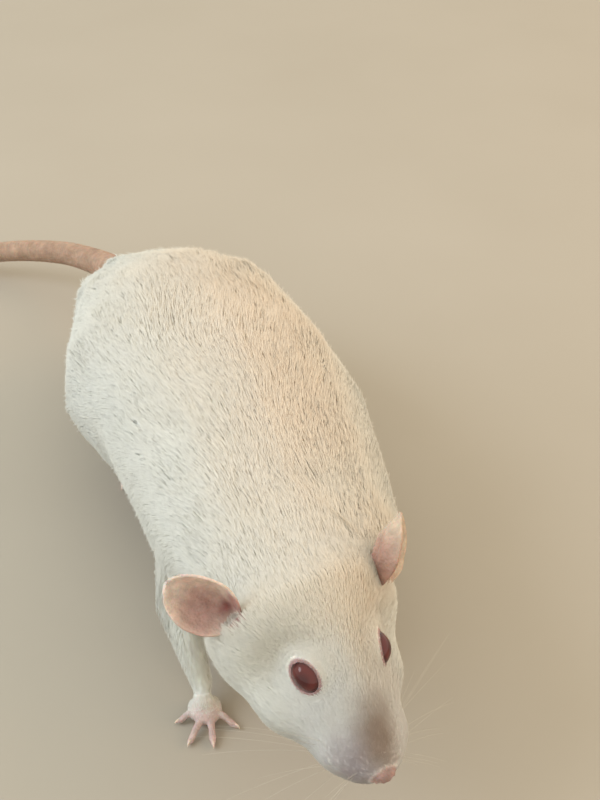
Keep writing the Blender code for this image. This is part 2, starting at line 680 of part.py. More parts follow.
def paint(obj, finish):
    """Give the object its own material."""
    material = bpy.data.materials.new(obj.name)
    material.use_nodes = True
    shader = material.node_tree.nodes["Principled BSDF"]
    shader.inputs["Base Color"].default_value = (*COLOURS[finish], 1.0)
    shader.inputs["Roughness"].default_value = ROUGHNESS[finish]
    shader.inputs["Metallic"].default_value = 0.0
    obj.data.materials.clear()
    obj.data.materials.append(material)
    obj.data.shade_smooth()
    obj.data.set_sharp_from_angle(angle=math.radians(50))


def centre_on_footprint(nodes, collection):
    """Hang all nodes on an empty that puts the middle of their footprint at the origin."""
    points = np.array([vert.co[:] for node in nodes for vert in node.data.vertices])
    middle = (points.min(axis=0) + points.max(axis=0)) / 2
    stand = bpy.data.objects.new("rat_footprint", None)
    collection.objects.link(stand)
    stand.location = (-middle[0], -middle[1], 0.0)
    for node in nodes:
        node.parent = stand


def main():
    """Model the rat in its own collection, with the cutters in another."""
    for obj in list(bpy.data.objects):
        bpy.data.objects.remove(obj)
    scene = bpy.context.scene
    collection = bpy.data.collections.new("pet_rat")
    cutters = bpy.data.collections.new("cutters")
    scene.collection.children.link(collection)
    scene.collection.children.link(cutters)
    bpy.context.view_layer.update()

    head, neck, torso = build_body(collection, cutters)
    eyes = dress_head(head, collection, cutters)
    ears = [
        build_ear("left", EAR_LEFT, (head, neck), collection, cutters),
        build_ear("right", EAR_RIGHT, (head, neck), collection, cutters),
    ]
    legs, paws = [], []
    for side, word in ((1, "left"), (-1, "right")):
        for build in (build_foreleg, build_hind_leg):
            leg, paw = build(side, word, torso, collection, cutters)
            legs.append(leg)
            paws.append(paw)
    tail = build_tail(torso, collection, cutters)
    for finish, nodes in (("coat", [head, neck, torso, *legs]), ("eye", eyes), ("ear", ears), ("skin", paws),
                          ("tail", tail)):
        for node in nodes:
            paint(node, finish)
    centre_on_footprint([head, neck, torso, *eyes, *ears, *legs, *paws, *tail], collection)


main()
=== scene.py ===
"""Looks of a life-size white pet rat: skin, coat, eyes, claws, whiskers, floor, light and camera.

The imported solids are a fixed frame. One skin replaces the nodes of flesh and lies inside them by the depth of
the coat, and tufts of fur grow from it as far as their surface. All sizes are in metres unless a name says
otherwise. The rat's own frame has its head to -Y, its left side to +X and the floor at z = 0.
"""

import logging
import math
from collections.abc import Callable
from dataclasses import dataclass, field
from enum import Enum

import bmesh
import bpy
import numpy as np
from mathutils import Euler, Matrix, Vector, noise
from mathutils.bvhtree import BVHTree
from mathutils.kdtree import KDTree

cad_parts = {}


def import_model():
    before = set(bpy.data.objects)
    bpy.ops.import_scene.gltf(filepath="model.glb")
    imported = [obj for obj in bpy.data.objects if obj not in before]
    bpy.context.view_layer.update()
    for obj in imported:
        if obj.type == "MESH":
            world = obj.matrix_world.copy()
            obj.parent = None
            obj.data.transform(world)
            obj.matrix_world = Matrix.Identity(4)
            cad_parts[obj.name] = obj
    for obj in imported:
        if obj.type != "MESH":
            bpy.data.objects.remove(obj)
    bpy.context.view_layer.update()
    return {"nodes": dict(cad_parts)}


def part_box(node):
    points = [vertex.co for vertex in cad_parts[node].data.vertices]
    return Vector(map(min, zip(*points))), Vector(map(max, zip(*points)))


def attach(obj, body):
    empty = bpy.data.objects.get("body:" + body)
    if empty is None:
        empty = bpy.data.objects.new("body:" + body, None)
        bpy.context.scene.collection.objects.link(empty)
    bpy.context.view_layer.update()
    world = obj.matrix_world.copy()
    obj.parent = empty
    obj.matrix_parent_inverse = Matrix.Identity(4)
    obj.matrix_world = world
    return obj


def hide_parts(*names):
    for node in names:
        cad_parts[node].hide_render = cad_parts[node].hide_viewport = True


LOG = logging.getLogger("pet_rat")

Vec3 = tuple[float, float, float]
Colour = tuple[float, float, float]
Socket = bpy.types.NodeSocket
Tree = bpy.types.NodeTree
Material = bpy.types.Material

MM = 0.001
FAR = 1.0
ROOT = "root"
SIDES: dict[str, int] = {"left": 1, "right": -1}


class Slot(Enum):
    """Names of the material slots."""

    COAT = "coat"
    EAR = "ear_skin"
    PAW = "paw_skin"
    TAIL = "tail_skin"
    EYE = "eye"


class Region(Enum):
    """Parts of the coat, each a piece of its own or a few."""

    FACE = "face"
    CROWN = "crown"
    NECK = "neck"
    SHOULDERS = "shoulders"
    BACK = "back"
    FLANK = "flank"
    RUMP = "rump"
    BELLY = "belly"
    LEGS = "legs"


# Small tools for meshes and operators


def activate(obj: bpy.types.Object) -> None:
    """Select only this object and make it the active one."""
    bpy.ops.object.select_all(action="DESELECT")
    obj.select_set(True)
    bpy.context.view_layer.objects.active = obj


def apply_modifier(obj: bpy.types.Object, kind: str, **settings: object) -> None:
    """Add a modifier, set it and apply it.

    Args:
        obj: The object that is modified.
        kind: The modifier's type, such as "REMESH".
        **settings: Its properties by name.
    """
    activate(obj)
    modifier = obj.modifiers.new(kind.title(), kind)
    for name, value in settings.items():
        setattr(modifier, name, value)
    bpy.ops.object.modifier_apply(modifier=modifier.name)


def mesh_from_arrays(name: str, points: np.ndarray, triangles: np.ndarray) -> bpy.types.Object:
    """Make an object from arrays of points and triangles.

    Args:
        name: The object's name.
        points: Places, one row of three for each.
        triangles: Three point numbers for each triangle.

    Returns:
        The new object, linked to the scene.
    """
    mesh = bpy.data.meshes.new(name)
    mesh.vertices.add(len(points))
    mesh.vertices.foreach_set("co", np.ascontiguousarray(points, np.float32).ravel())
    mesh.loops.add(len(triangles) * 3)
    mesh.loops.foreach_set("vertex_index", np.ascontiguousarray(triangles, np.int32).ravel())
    mesh.polygons.add(len(triangles))
    mesh.polygons.foreach_set("loop_start", np.arange(0, len(triangles) * 3, 3, dtype=np.int32))
    mesh.update(calc_edges=True)
    obj = bpy.data.objects.new(name, mesh)
    bpy.context.scene.collection.objects.link(obj)
    return obj


def sheet(name: str, rows: np.ndarray) -> bpy.types.Object:
    """Add a grid and lay it through rows of points.

    Args:
        name: The object's name.
        rows: Points as row, place in the row, and the three coordinates.

    Returns:
        The sheet, of four-sided faces.
    """
    along, across, _ = rows.shape
    bpy.ops.object.select_all(action="DESELECT")
    bpy.ops.mesh.primitive_grid_add(x_subdivisions=across - 1, y_subdivisions=along - 1)
    made = bpy.context.object
    made.name = name
    write_points(made, rows.reshape(-1, 3))
    return made


def rolled_tube(name: str, rings: np.ndarray) -> bpy.types.Object:
    """Roll a sheet up into a tube, sew its seam and close its ends.

    Args:
        name: The object's name.
        rings: Points as ring, place round it, and the three coordinates.

    Returns:
        The closed tube.
    """
    tube = sheet(name, np.concatenate([rings, rings[:, :1]], axis=1))
    bpy.ops.object.mode_set(mode="EDIT")
    bpy.ops.mesh.select_all(action="SELECT")
    bpy.ops.mesh.remove_doubles(threshold=1e-7)
    bpy.ops.mesh.fill_holes(sides=0)
    bpy.ops.mesh.normals_make_consistent(inside=False)
    bpy.ops.mesh.quads_convert_to_tris()
    bpy.ops.object.mode_set(mode="OBJECT")
    return tube


def join(pieces: list[bpy.types.Object], name: str) -> bpy.types.Object:
    """Join objects into one, and name the whole."""
    activate(pieces[0])
    for piece in pieces:
        piece.select_set(True)
    bpy.ops.object.join()
    pieces[0].name = name
    return pieces[0]


def along_line(line: np.ndarray, sideways: np.ndarray, over: np.ndarray, angle: np.ndarray) -> np.ndarray:
    """Rings round a line.

    Args:
        line: Middle of each ring.
        sideways: Reach to the side of each point of each ring.
        over: Reach upwards of each point of each ring.
        angle: Angle of each point in its ring.

    Returns:
        Points as ring, place round it, and the three coordinates.
    """
    along = unit(np.gradient(line, axis=0))
    side = unit(np.cross(along, (0.02, 0.01, 1.0)))
    up = np.cross(side, along)
    return (line[:, None] + (sideways * np.cos(angle))[..., None] * side[:, None]
            + (over * np.sin(angle))[..., None] * up[:, None])


def fetch(items: bpy.types.bpy_prop_collection, name: str, width: int, kind: type = np.float32) -> np.ndarray:
    """Values of a collection of a mesh, one row for each item."""
    rows = np.empty(len(items) * width, kind)
    items.foreach_get(name, rows)
    return rows.reshape(-1, width)


def read_points(obj: bpy.types.Object) -> np.ndarray:
    """Places of an object's vertices, one row of three for each."""
    return fetch(obj.data.vertices, "co", 3).astype(float)


def write_points(obj: bpy.types.Object, points: np.ndarray) -> None:
    """Move an object's vertices to new places, one row for each."""
    obj.data.vertices.foreach_set("co", np.ascontiguousarray(points, np.float32).ravel())
    obj.data.update()


def read_normals(obj: bpy.types.Object) -> np.ndarray:
    """Normals of an object's vertices, one row of three for each."""
    return fetch(obj.data.vertex_normals, "vector", 3).astype(float)


def read_triangles(obj: bpy.types.Object) -> np.ndarray:
    """Triangles of an object's mesh, as three vertex numbers each."""
    obj.data.calc_loop_triangles()
    return fetch(obj.data.loop_triangles, "vertices", 3, np.int32)


def read_edges(obj: bpy.types.Object) -> np.ndarray:
    """Edges of an object's mesh, as two vertex numbers each."""
    return fetch(obj.data.edges, "vertices", 2, np.int32)


def spread(values: np.ndarray, edges: np.ndarray, steps: int, share: np.ndarray | float = 0.5) -> np.ndarray:
    """Even out values over a mesh, each step moving a vertex towards the mean of its neighbours.

    Args:
        values: One row for each vertex.
        edges: The mesh's edges.
        steps: How many times to do it.
        share: How far each vertex moves, for all or for each.

    Returns:
        The evened values.
    """
    count = len(values)
    ends = np.concatenate([edges[:, 0], edges[:, 1]])
    others = np.concatenate([edges[:, 1], edges[:, 0]])
    degree = np.maximum(np.bincount(ends, minlength=count), 1)[:, None]
    share = np.broadcast_to(np.asarray(share, float).reshape(-1, 1), (count, 1))
    table = values.reshape(count, -1).astype(float)
    for _ in range(steps):
        mean = np.stack([np.bincount(ends, weights=column[others], minlength=count) for column in table.T], 1)
        table = table + (mean / degree - table) * share
    return table.reshape(values.shape)


def keep_largest(obj: bpy.types.Object) -> None:
    """Delete all but the largest closed surface of an object.

    Args:
        obj: A mesh object.
    """
    count = len(obj.data.vertices)
    edges = read_edges(obj)
    label = np.arange(count)
    while True:
        low = np.minimum(label[edges[:, 0]], label[edges[:, 1]])
        new = label.copy()
        np.minimum.at(new, edges[:, 0], low)
        np.minimum.at(new, edges[:, 1], low)
        new = new[new]
        if np.array_equal(new, label):
            break
        label = new
    names, sizes = np.unique(label, return_counts=True)
    best = names[np.argmax(sizes)]
    if len(names) == 1:
        return
    bm = bmesh.new()
    bm.from_mesh(obj.data)
    bmesh.ops.delete(bm, geom=[vert for vert in bm.verts if label[vert.index] != best], context="VERTS")
    bm.to_mesh(obj.data)
    bm.free()


def unit(rows: np.ndarray) -> np.ndarray:
    """Rows scaled to length one."""
    return rows / np.maximum(np.linalg.norm(rows, axis=-1, keepdims=True), 1e-12)


def ease(value: np.ndarray | float, low: float, high: float) -> np.ndarray:
    """Rise smoothly from 0 at low to 1 at high."""
    t = np.clip((np.asarray(value, float) - low) / (high - low), 0.0, 1.0)
    return t * t * (3 - 2 * t)


def bell(distance: np.ndarray | float, width: float) -> np.ndarray:
    """Fall smoothly from 1 with distance, to about a third at the width."""
    return np.exp(-np.square(np.asarray(distance, float) / width))


def curve_through(keys: np.ndarray, count: int) -> np.ndarray:
    """Even steps along a smooth curve through key rows, whose first three columns are a point.

    Args:
        keys: The rows that the curve passes through.
        count: How many rows to give back.

    Returns:
        The rows along the curve.
    """
    padded = np.vstack([2 * keys[0] - keys[1], keys, 2 * keys[-1] - keys[-2]])
    fine = []
    for i in range(1, len(padded) - 2):
        a, b, c, d = padded[i - 1 : i + 3]
        for u in np.linspace(0, 1, 24, endpoint=False):
            bent = (2 * a - 5 * b + 4 * c - d) * u**2 + (3 * b - a - 3 * c + d) * u**3
            fine.append(0.5 * (2 * b + (c - a) * u + bent))
    fine = np.array([*fine, keys[-1]])
    run = np.concatenate([[0], np.cumsum(np.linalg.norm(np.diff(fine[:, :3], axis=0), axis=1))])
    where = np.linspace(0, run[-1], count)
    return np.stack([np.interp(where, run, column) for column in fine.T], axis=1)


def kd_tree(rows: np.ndarray) -> KDTree:
    """Search tree over rows of points."""
    tree = KDTree(len(rows))
    for i, row in enumerate(rows):
        tree.insert(row, i)
    tree.balance()
    return tree


def noise_at(points: np.ndarray, scale: float, offset: Vec3 = (0.0, 0.0, 0.0)) -> np.ndarray:
    """Smooth noise at each point, from about -1 to 1."""
    return np.array([noise.noise(Vector(point) * scale + Vector(offset)) for point in points])


def reach_to_line(points: np.ndarray, line: np.ndarray, near: np.ndarray) -> np.ndarray:
    """Distance from each near point to the closest point of a line, and FAR for all others."""
    reach = np.full(len(points), FAR)
    reach[near] = np.min(np.linalg.norm(points[near][:, None] - line[None], axis=2), axis=1)
    return reach


def sphere(name: str, segments: int, rings: int) -> bpy.types.Object:
    """Add a sphere of radius 1, to be shaped."""
    bpy.ops.object.select_all(action="DESELECT")
    bpy.ops.mesh.primitive_uv_sphere_add(segments=segments, ring_count=rings, radius=1.0)
    made = bpy.context.object
    made.name = name
    return made


# The rat's frame


@dataclass
class RatFrame:
    """Where the rat and its head stand in the frame of the solids.

    The head's own frame has the middle of the eyes at its origin and the nose to -Y.
    """

    head_at: Vec3 = (-0.0031, -0.1424, 0.0560)
    head_pitch: float = 27.5
    head_yaw: float = 9.5
    head_roll: float = 5.4
    eye_at: Vec3 = (0.0086, -0.0005, -0.0007)
    shift: Vector = field(default_factory=Vector)
    turn: Matrix = field(default_factory=Matrix)

    def settle(self) -> None:
        """Find the rat's place from the two eye nodes."""
        yaw = Matrix.Rotation(math.radians(self.head_yaw), 3, "Z")
        pitch = Matrix.Rotation(math.radians(self.head_pitch), 3, "X")
        roll = Matrix.Rotation(math.radians(self.head_roll), 3, "Y")
        self.turn = yaw @ pitch @ roll
        middles = []
        for side in SIDES:
            low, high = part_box(f"eye_{side}")
            middles.append((low + high) / 2)
        wanted = (middles[0] + middles[1]) / 2
        unshifted = Vector(self.head_at) + self.turn @ Vector((0.0, *self.eye_at[1:]))
        self.shift = wanted - unshifted

    def place(self, point: Vec3) -> Vector:
        """A point of the rat's own frame, in the frame of the solids."""
        return Vector(point) + self.shift

    def from_head(self, point: Vec3) -> Vector:
        """A point of the head's frame, in the frame of the solids."""
        return self.place(self.head_at) + self.turn @ Vector(point)

    def to_head(self, points: np.ndarray) -> np.ndarray:
        """Points of the frame of the solids, in the head's frame."""
        return (points - np.array(self.place(self.head_at))) @ np.array(self.turn)

    def to_rat(self, points: np.ndarray) -> np.ndarray:
        """Points of the frame of the solids, in the rat's own frame."""
        return points - np.array(self.shift)


def mirrored(point: Vec3, side: int) -> Vec3:
    """The point for side 1, and its mirror image across the middle for side -1."""
    return (point[0] * side, point[1], point[2])


def basis(main: Vector, second: Vector) -> Matrix:
    """Rotation whose Z is main and whose X is second, squared to it.

    Args:
        main: Direction of Z.
        second: Rough direction of X.

    Returns:
        The rotation, with the axes as its columns.
    """
    z = main.normalized()
    x = (second - z * second.dot(z)).normalized()
    return Matrix((x, z.cross(x), z)).transposed()


# Finishes


class NodeWriter:
    """Writes a node tree: adds nodes, sets or joins their inputs, and gives back sockets."""

    def __init__(self, tree: Tree) -> None:
        """Keep the tree that is written."""
        self.tree = tree

    def add(self, kind: str, output: str | int = 0, inputs: dict | None = None, **settings: object) -> Socket:
        """Add a node.

        Args:
            kind: The node's type without "ShaderNode".
            output: Which of its outputs to give back.
            inputs: Values or sockets by input name or number.
            **settings: Properties of the node.

        Returns:
            The output socket.
        """
        made = self.tree.nodes.new(f"ShaderNode{kind}")
        for name, value in settings.items():
            setattr(made, name, value)
        for name, value in (inputs or {}).items():
            self.join(value, made.inputs[name])
        return made.outputs[output]

    def join(self, value: object, socket: Socket) -> None:
        """Link a socket to an input, or set the input's value."""
        if isinstance(value, Socket):
            self.tree.links.new(value, socket)
        else:
            socket.default_value = value

    def math(self, operation: str, first: object, second: object = 0.0) -> Socket:
        """Result of a Math node."""
        return self.add("Math", inputs={0: first, 1: second}, operation=operation)

    def blend(self, share: object, first: object, second: object) -> Socket:
        """Colour between two colours by a share."""
        made = self.tree.nodes.new("ShaderNodeMix")
        made.data_type = "RGBA"
        for value, socket in ((share, made.inputs[0]), (first, made.inputs[6]), (second, made.inputs[7])):
            self.join(value, socket)
        return made.outputs[2]

    def ramp(self, value: object, low: float, high: float, start: float = 0.0, end: float = 1.0) -> Socket:
        """Smooth rise from start to end as the value goes from low to high."""
        inputs = {"Value": value, "From Min": low, "From Max": high, "To Min": start, "To Max": end}
        return self.add("MapRange", inputs=inputs, interpolation_type="SMOOTHSTEP")


def between(first: Colour | np.ndarray, second: Colour, share: np.ndarray) -> np.ndarray:
    """Colours from the first to the second by a share."""
    return np.array(first) + (np.array(second) - first) * share


def rgba(colour: Colour) -> tuple[float, float, float, float]:
    """The colour with full opacity."""
    return (*colour, 1.0)


def new_group(name: str, inputs: dict[str, object], outputs: dict[str, str]) -> tuple[Tree, object, object]:
    """Start a shader node group.

    Args:
        name: The group's name.
        inputs: Default values by name, a number or a colour.
        outputs: Socket kinds by name.

    Returns:
        The group, its input node and its output node.
    """
    group = bpy.data.node_groups.new(name, "ShaderNodeTree")
    for label, value in inputs.items():
        kind = "NodeSocketColor" if isinstance(value, tuple) else "NodeSocketFloat"
        socket = group.interface.new_socket(label, in_out="INPUT", socket_type=kind)
        socket.default_value = value
    for label, kind in outputs.items():
        group.interface.new_socket(label, in_out="OUTPUT", socket_type=kind)
    return group, group.nodes.new("NodeGroupInput"), group.nodes.new("NodeGroupOutput")


@dataclass(frozen=True)
class Patch:
    """An oval patch of another colour, placed in the head's frame, with a soft edge."""

    middle: Vec3
    radii: Vec3
    colour: Colour
    strength: float

    def share(self, write: NodeWriter, place: Socket, frame: RatFrame) -> Socket:
        """Write how much of the patch there is at a place.

        Args:
            write: Writes into the group of the markings.
            place: The place, as a vector.
            frame: Gives the head's place and turn.

        Returns:
            A number from 0 to the strength.
        """
        away = write.add("VectorMath", 0, {0: place, 1: frame.from_head(self.middle)}, operation="SUBTRACT")
        spot = {}
        for name, side, radius in zip("XYZ", frame.turn.transposed(), self.radii):
            run = write.add("VectorMath", "Value", {0: away, 1: side}, operation="DOT_PRODUCT")
            spot[name] = write.math("DIVIDE", run, radius)
        reach = write.add("VectorMath", "Value", {0: write.add("CombineXYZ", 0, spot)}, operation="LENGTH")
        return write.ramp(reach, 0.2, 1.3, self.strength, 0.0)


@dataclass(frozen=True)
class MarkingsAndPaintedLight:
    """The coat's colours: cool white, cream on the back with more of it on the left side as painted warm light,
    painted shade greying the face and darkening the right side of the muzzle, and a brown smudge on the muzzle.
    """

    white: Colour = (0.825, 0.83, 0.79)
    cream: Colour = (0.86, 0.79, 0.69)
    cream_from: float = 0.042
    cream_to: float = 0.080
    patches: tuple[Patch, ...] = (
        # painted shade: grey over the front of the face, which turns away from the light, with a little of the
        # greyer tone of thinner fur
        Patch((0.0, -0.0230, -0.0060), (0.023, 0.030, 0.023), (0.62, 0.60, 0.60), 0.62),
        # painted shade: a lilac-grey patch on the right side of the muzzle only
        Patch((-0.0046, -0.0205, -0.0050), (0.0070, 0.0085, 0.0070), (0.36, 0.30, 0.33), 0.74),
        Patch((0.0002, -0.0178, -0.0004), (0.0058, 0.0104, 0.0070), (0.32, 0.230, 0.175), 0.80),
    )

    def build(self, frame: RatFrame) -> Tree:
        """Make the node group that skin and coat share.

        Args:
            frame: Gives the muzzle's place.

        Returns:
            The group, whose output is the coat's colour at each point.
        """
        defaults = {"White": rgba(self.white), "Cream": rgba(self.cream)}
        group, given, result = new_group("rat_markings_and_painted_light", defaults, {"Colour": "NodeSocketColor"})
        write = NodeWriter(group)
        place = write.add("TexCoord", "Object")
        split = write.add("SeparateXYZ", "Z", {"Vector": place})
        across = write.add("SeparateXYZ", "X", {"Vector": place})
        patchy = write.add("TexNoise", 0, {"Vector": place, "Scale": 26.0, "Detail": 3.0})
        height = write.math("ADD", split, write.math("MULTIPLY", write.math("SUBTRACT", patchy, 0.5), 0.03))
        warm = write.ramp(height, self.cream_from, self.cream_to)
        # painted warm light: the cream grows stronger towards the rat's left side, where the warm lamp shines,
        # over the coat's own cream on top of the back
        left = write.ramp(across, frame.shift.x - 0.035, frame.shift.x + 0.030)
        share = write.math("MULTIPLY", warm, write.math("MULTIPLY_ADD", left, 0.75))
        coat = write.blend(share, given.outputs["White"], given.outputs["Cream"])
        wander = write.add("TexNoise", 1, {"Vector": place, "Scale": 170.0, "Detail": 2.0})
        moved = write.add("VectorMath", 0, {0: wander, 1: (-0.5, -0.5, -0.5)}, operation="ADD")
        moved = write.add("VectorMath", 0, {0: moved, "Scale": 0.004}, operation="SCALE")
        moved = write.add("VectorMath", 0, {0: place, 1: moved}, operation="ADD")
        for patch in self.patches:
            coat = write.blend(patch.share(write, moved, frame), coat, rgba(patch.colour))
        write.join(coat, result.inputs["Colour"])
        return group


def relief_group() -> Tree:
    """Make the node group of fine streaks that run along the body.

    Returns:
        The group, with a height from 0 to 1.
    """
    defaults = {"Scale": 900.0, "Stretch": 0.14}
    group, given, result = new_group("fine_streaks", defaults, {"Height": "NodeSocketFloat"})
    write = NodeWriter(group)
    place = write.add("TexCoord", "Object")
    stretch = write.add("CombineXYZ", 0, {"X": 1.0, "Y": given.outputs["Stretch"], "Z": 1.0})
    drawn = write.add("VectorMath", 0, {0: place, 1: stretch}, operation="MULTIPLY")
    fine = write.add("TexNoise", 0, {"Vector": drawn, "Scale": given.outputs["Scale"], "Detail": 4.0,
                                     "Roughness": 0.65, "Distortion": 0.6})
    write.join(fine, result.inputs["Height"])
    return group


@dataclass(frozen=True)
class Finish:
    """A surface finish: the parts of it that are the same all over."""

    name: str
    colour: Colour
    roughness: float = 0.6
    specular: float = 0.5
    sheen: float = 0.0
    sheen_roughness: float = 0.5
    coat: float = 0.0
    coat_roughness: float = 0.05
    subsurface: float = 0.0
    subsurface_reach: float = 0.001

    def start(self) -> tuple[Material, NodeWriter, bpy.types.Node]:
        """Make the material with its Principled shader.

        Returns:
            The material, a writer for its nodes, and the shader.
        """
        material = bpy.data.materials.new(self.name)
        material.use_nodes = True
        shader = material.node_tree.nodes["Principled BSDF"]
        shader.inputs["Base Color"].default_value = rgba(self.colour)
        shader.inputs["Roughness"].default_value = self.roughness
        shader.inputs["Specular IOR Level"].default_value = self.specular
        shader.inputs["Sheen Weight"].default_value = self.sheen
        shader.inputs["Sheen Roughness"].default_value = self.sheen_roughness
        shader.inputs["Coat Weight"].default_value = self.coat
        shader.inputs["Coat Roughness"].default_value = self.coat_roughness
        shader.inputs["Subsurface Weight"].default_value = self.subsurface
        shader.inputs["Subsurface Scale"].default_value = self.subsurface_reach
        return material, NodeWriter(material.node_tree), shader


@dataclass(frozen=True)
class GrainedFinish(Finish):
    """A finish whose colour wanders finely between two colours."""

    dark: Colour = (0.5, 0.5, 0.5)
    light: Colour = (0.5, 0.5, 0.5)
    scale: float = 300.0
    detail: float = 3.0

    def material(self) -> Material:
        """Make the material."""
        material, write, shader = self.start()
        place = write.add("TexCoord", "Object")
        grain = write.add("TexNoise", 0, {"Vector": place, "Scale": self.scale, "Detail": self.detail})
        write.join(write.blend(grain, rgba(self.dark), rgba(self.light)), shader.inputs["Base Color"])
        return material


HORN = GrainedFinish("rat_horn", (0.70, 0.55, 0.46), 0.32, 0.5, coat=0.3, subsurface=0.2,
                     subsurface_reach=0.0005, dark=(0.62, 0.45, 0.37), light=(0.80, 0.68, 0.58), scale=1800.0)
WHISKER = GrainedFinish("rat_whisker", (0.86, 0.84, 0.80), 0.35, 0.5, coat=0.2,
                        dark=(0.44, 0.40, 0.34), light=(0.60, 0.56, 0.49), scale=300.0, detail=2.0)
FLOOR = GrainedFinish("studio_floor", (0.40, 0.365, 0.31), 0.9, 0.2,
                      dark=(0.385, 0.35, 0.295), light=(0.415, 0.38, 0.325), scale=12.0, detail=2.0)


@dataclass
class Finishes:
    """The finishes that share the markings: skin and coat, and the eye beside them."""

    markings: Tree
    streaks: Tree

    def group(self, write: NodeWriter, tree: Tree, output: str) -> Socket:
        """Place a shared group in a material and give back one of its outputs."""
        made = write.tree.nodes.new("ShaderNodeGroup")
        made.node_tree = tree
        return made.outputs[output]

    def skin(self) -> Material:
        """Skin: the coat's own colour under the fur, flesh where the vertices are painted bare.

        Returns:
            The material.
        """
        material, write, shader = Finish("rat_skin", (0.85, 0.82, 0.78), 0.55, 0.35, subsurface=0.12,
                                         subsurface_reach=0.0012).start()
        flesh = write.tree.nodes.new("ShaderNodeAttribute")
        flesh.attribute_name = "flesh"
        place = write.add("TexCoord", "Object")
        blotch = write.add("TexNoise", 0, {"Vector": place, "Scale": 420.0, "Detail": 4.0, "Roughness": 0.6})
        darker = write.ramp(blotch, 0.3, 0.75, 0.80, 1.12)
        pink = write.add("VectorMath", 0, {0: flesh.outputs["Color"], "Scale": darker}, operation="SCALE")
        under = self.group(write, self.markings, "Colour")
        base = write.blend(flesh.outputs["Alpha"], under, pink)
        write.join(base, shader.inputs["Base Color"])
        for label, furred, naked in (("Roughness", 0.85, 0.48), ("Subsurface Weight", 0.10, 0.30)):
            write.join(write.ramp(flesh.outputs["Alpha"], 0.0, 1.0, furred, naked), shader.inputs[label])
        fine = write.add("TexVoronoi", 0, {"Vector": place, "Scale": 1500.0})
        streak = self.group(write, self.streaks, "Height")
        height = write.add("Mix", 0, {0: flesh.outputs["Alpha"], 2: streak, 3: fine})
        bump = write.add("Bump", 0, {"Height": height, "Strength": 0.5, "Distance": 0.0003})
        write.join(bump, shader.inputs["Normal"])
        return material

    def coat(self) -> Material:
        """Fur: the markings, slightly lighter and darker from lock to lock, and a little darker on the lower
        tufts as painted shade.

        Returns:
            The material.
        """
        material, write, shader = Finish("rat_coat", (0.88, 0.86, 0.82), 0.62, 0.25, sheen=0.08).start()
        colour = self.group(write, self.markings, "Colour")
        tone = write.tree.nodes.new("ShaderNodeAttribute")
        tone.attribute_name = "tone"
        toned = write.add("VectorMath", 0, {0: colour, "Scale": tone.outputs["Fac"]}, operation="SCALE")
        write.join(toned, shader.inputs["Base Color"])
        through = write.add("BsdfTranslucent", 0, {"Color": toned})
        both = write.add("MixShader", 0, {0: 0.32, 1: shader.outputs["BSDF"], 2: through})
        write.join(both, write.tree.nodes["Material Output"].inputs["Surface"])
        return material

    def eye(self, pupils: list[tuple[Vector, Vector]]) -> Material:
        """Eye: a wet deep red bead, darker at its pupil.

        Args:
            pupils: The middle of each ball and the way that it looks.

        Returns:
            The material.
        """
        material, write, shader = Finish("rat_eye", (0.11, 0.008, 0.012), 0.12, 0.35, coat=0.3,
                                         coat_roughness=0.03).start()
        place = write.add("TexCoord", "Object")
        nearest = None
        for middle, look in pupils:
            pupil = middle + look * 0.0034
            reach = write.add("VectorMath", "Value", {0: place, 1: pupil}, operation="DISTANCE")
            nearest = reach if nearest is None else write.math("MINIMUM", nearest, reach)
        cloud = write.add("TexNoise", 0, {"Vector": place, "Scale": 700.0, "Detail": 3.0})
        edge = write.math("ADD", nearest, write.math("MULTIPLY", write.math("SUBTRACT", cloud, 0.5), 0.0006))
        iris = write.ramp(edge, 0.0008, 0.0024)
        red = write.blend(iris, (0.050, 0.006, 0.008, 1.0), (0.095, 0.014, 0.014, 1.0))
        rim = write.ramp(edge, 0.0026, 0.0040)
        write.join(write.blend(rim, red, (0.040, 0.007, 0.009, 1.0)), shader.inputs["Base Color"])
        return material


# Pieces of flesh that are finer than the solids


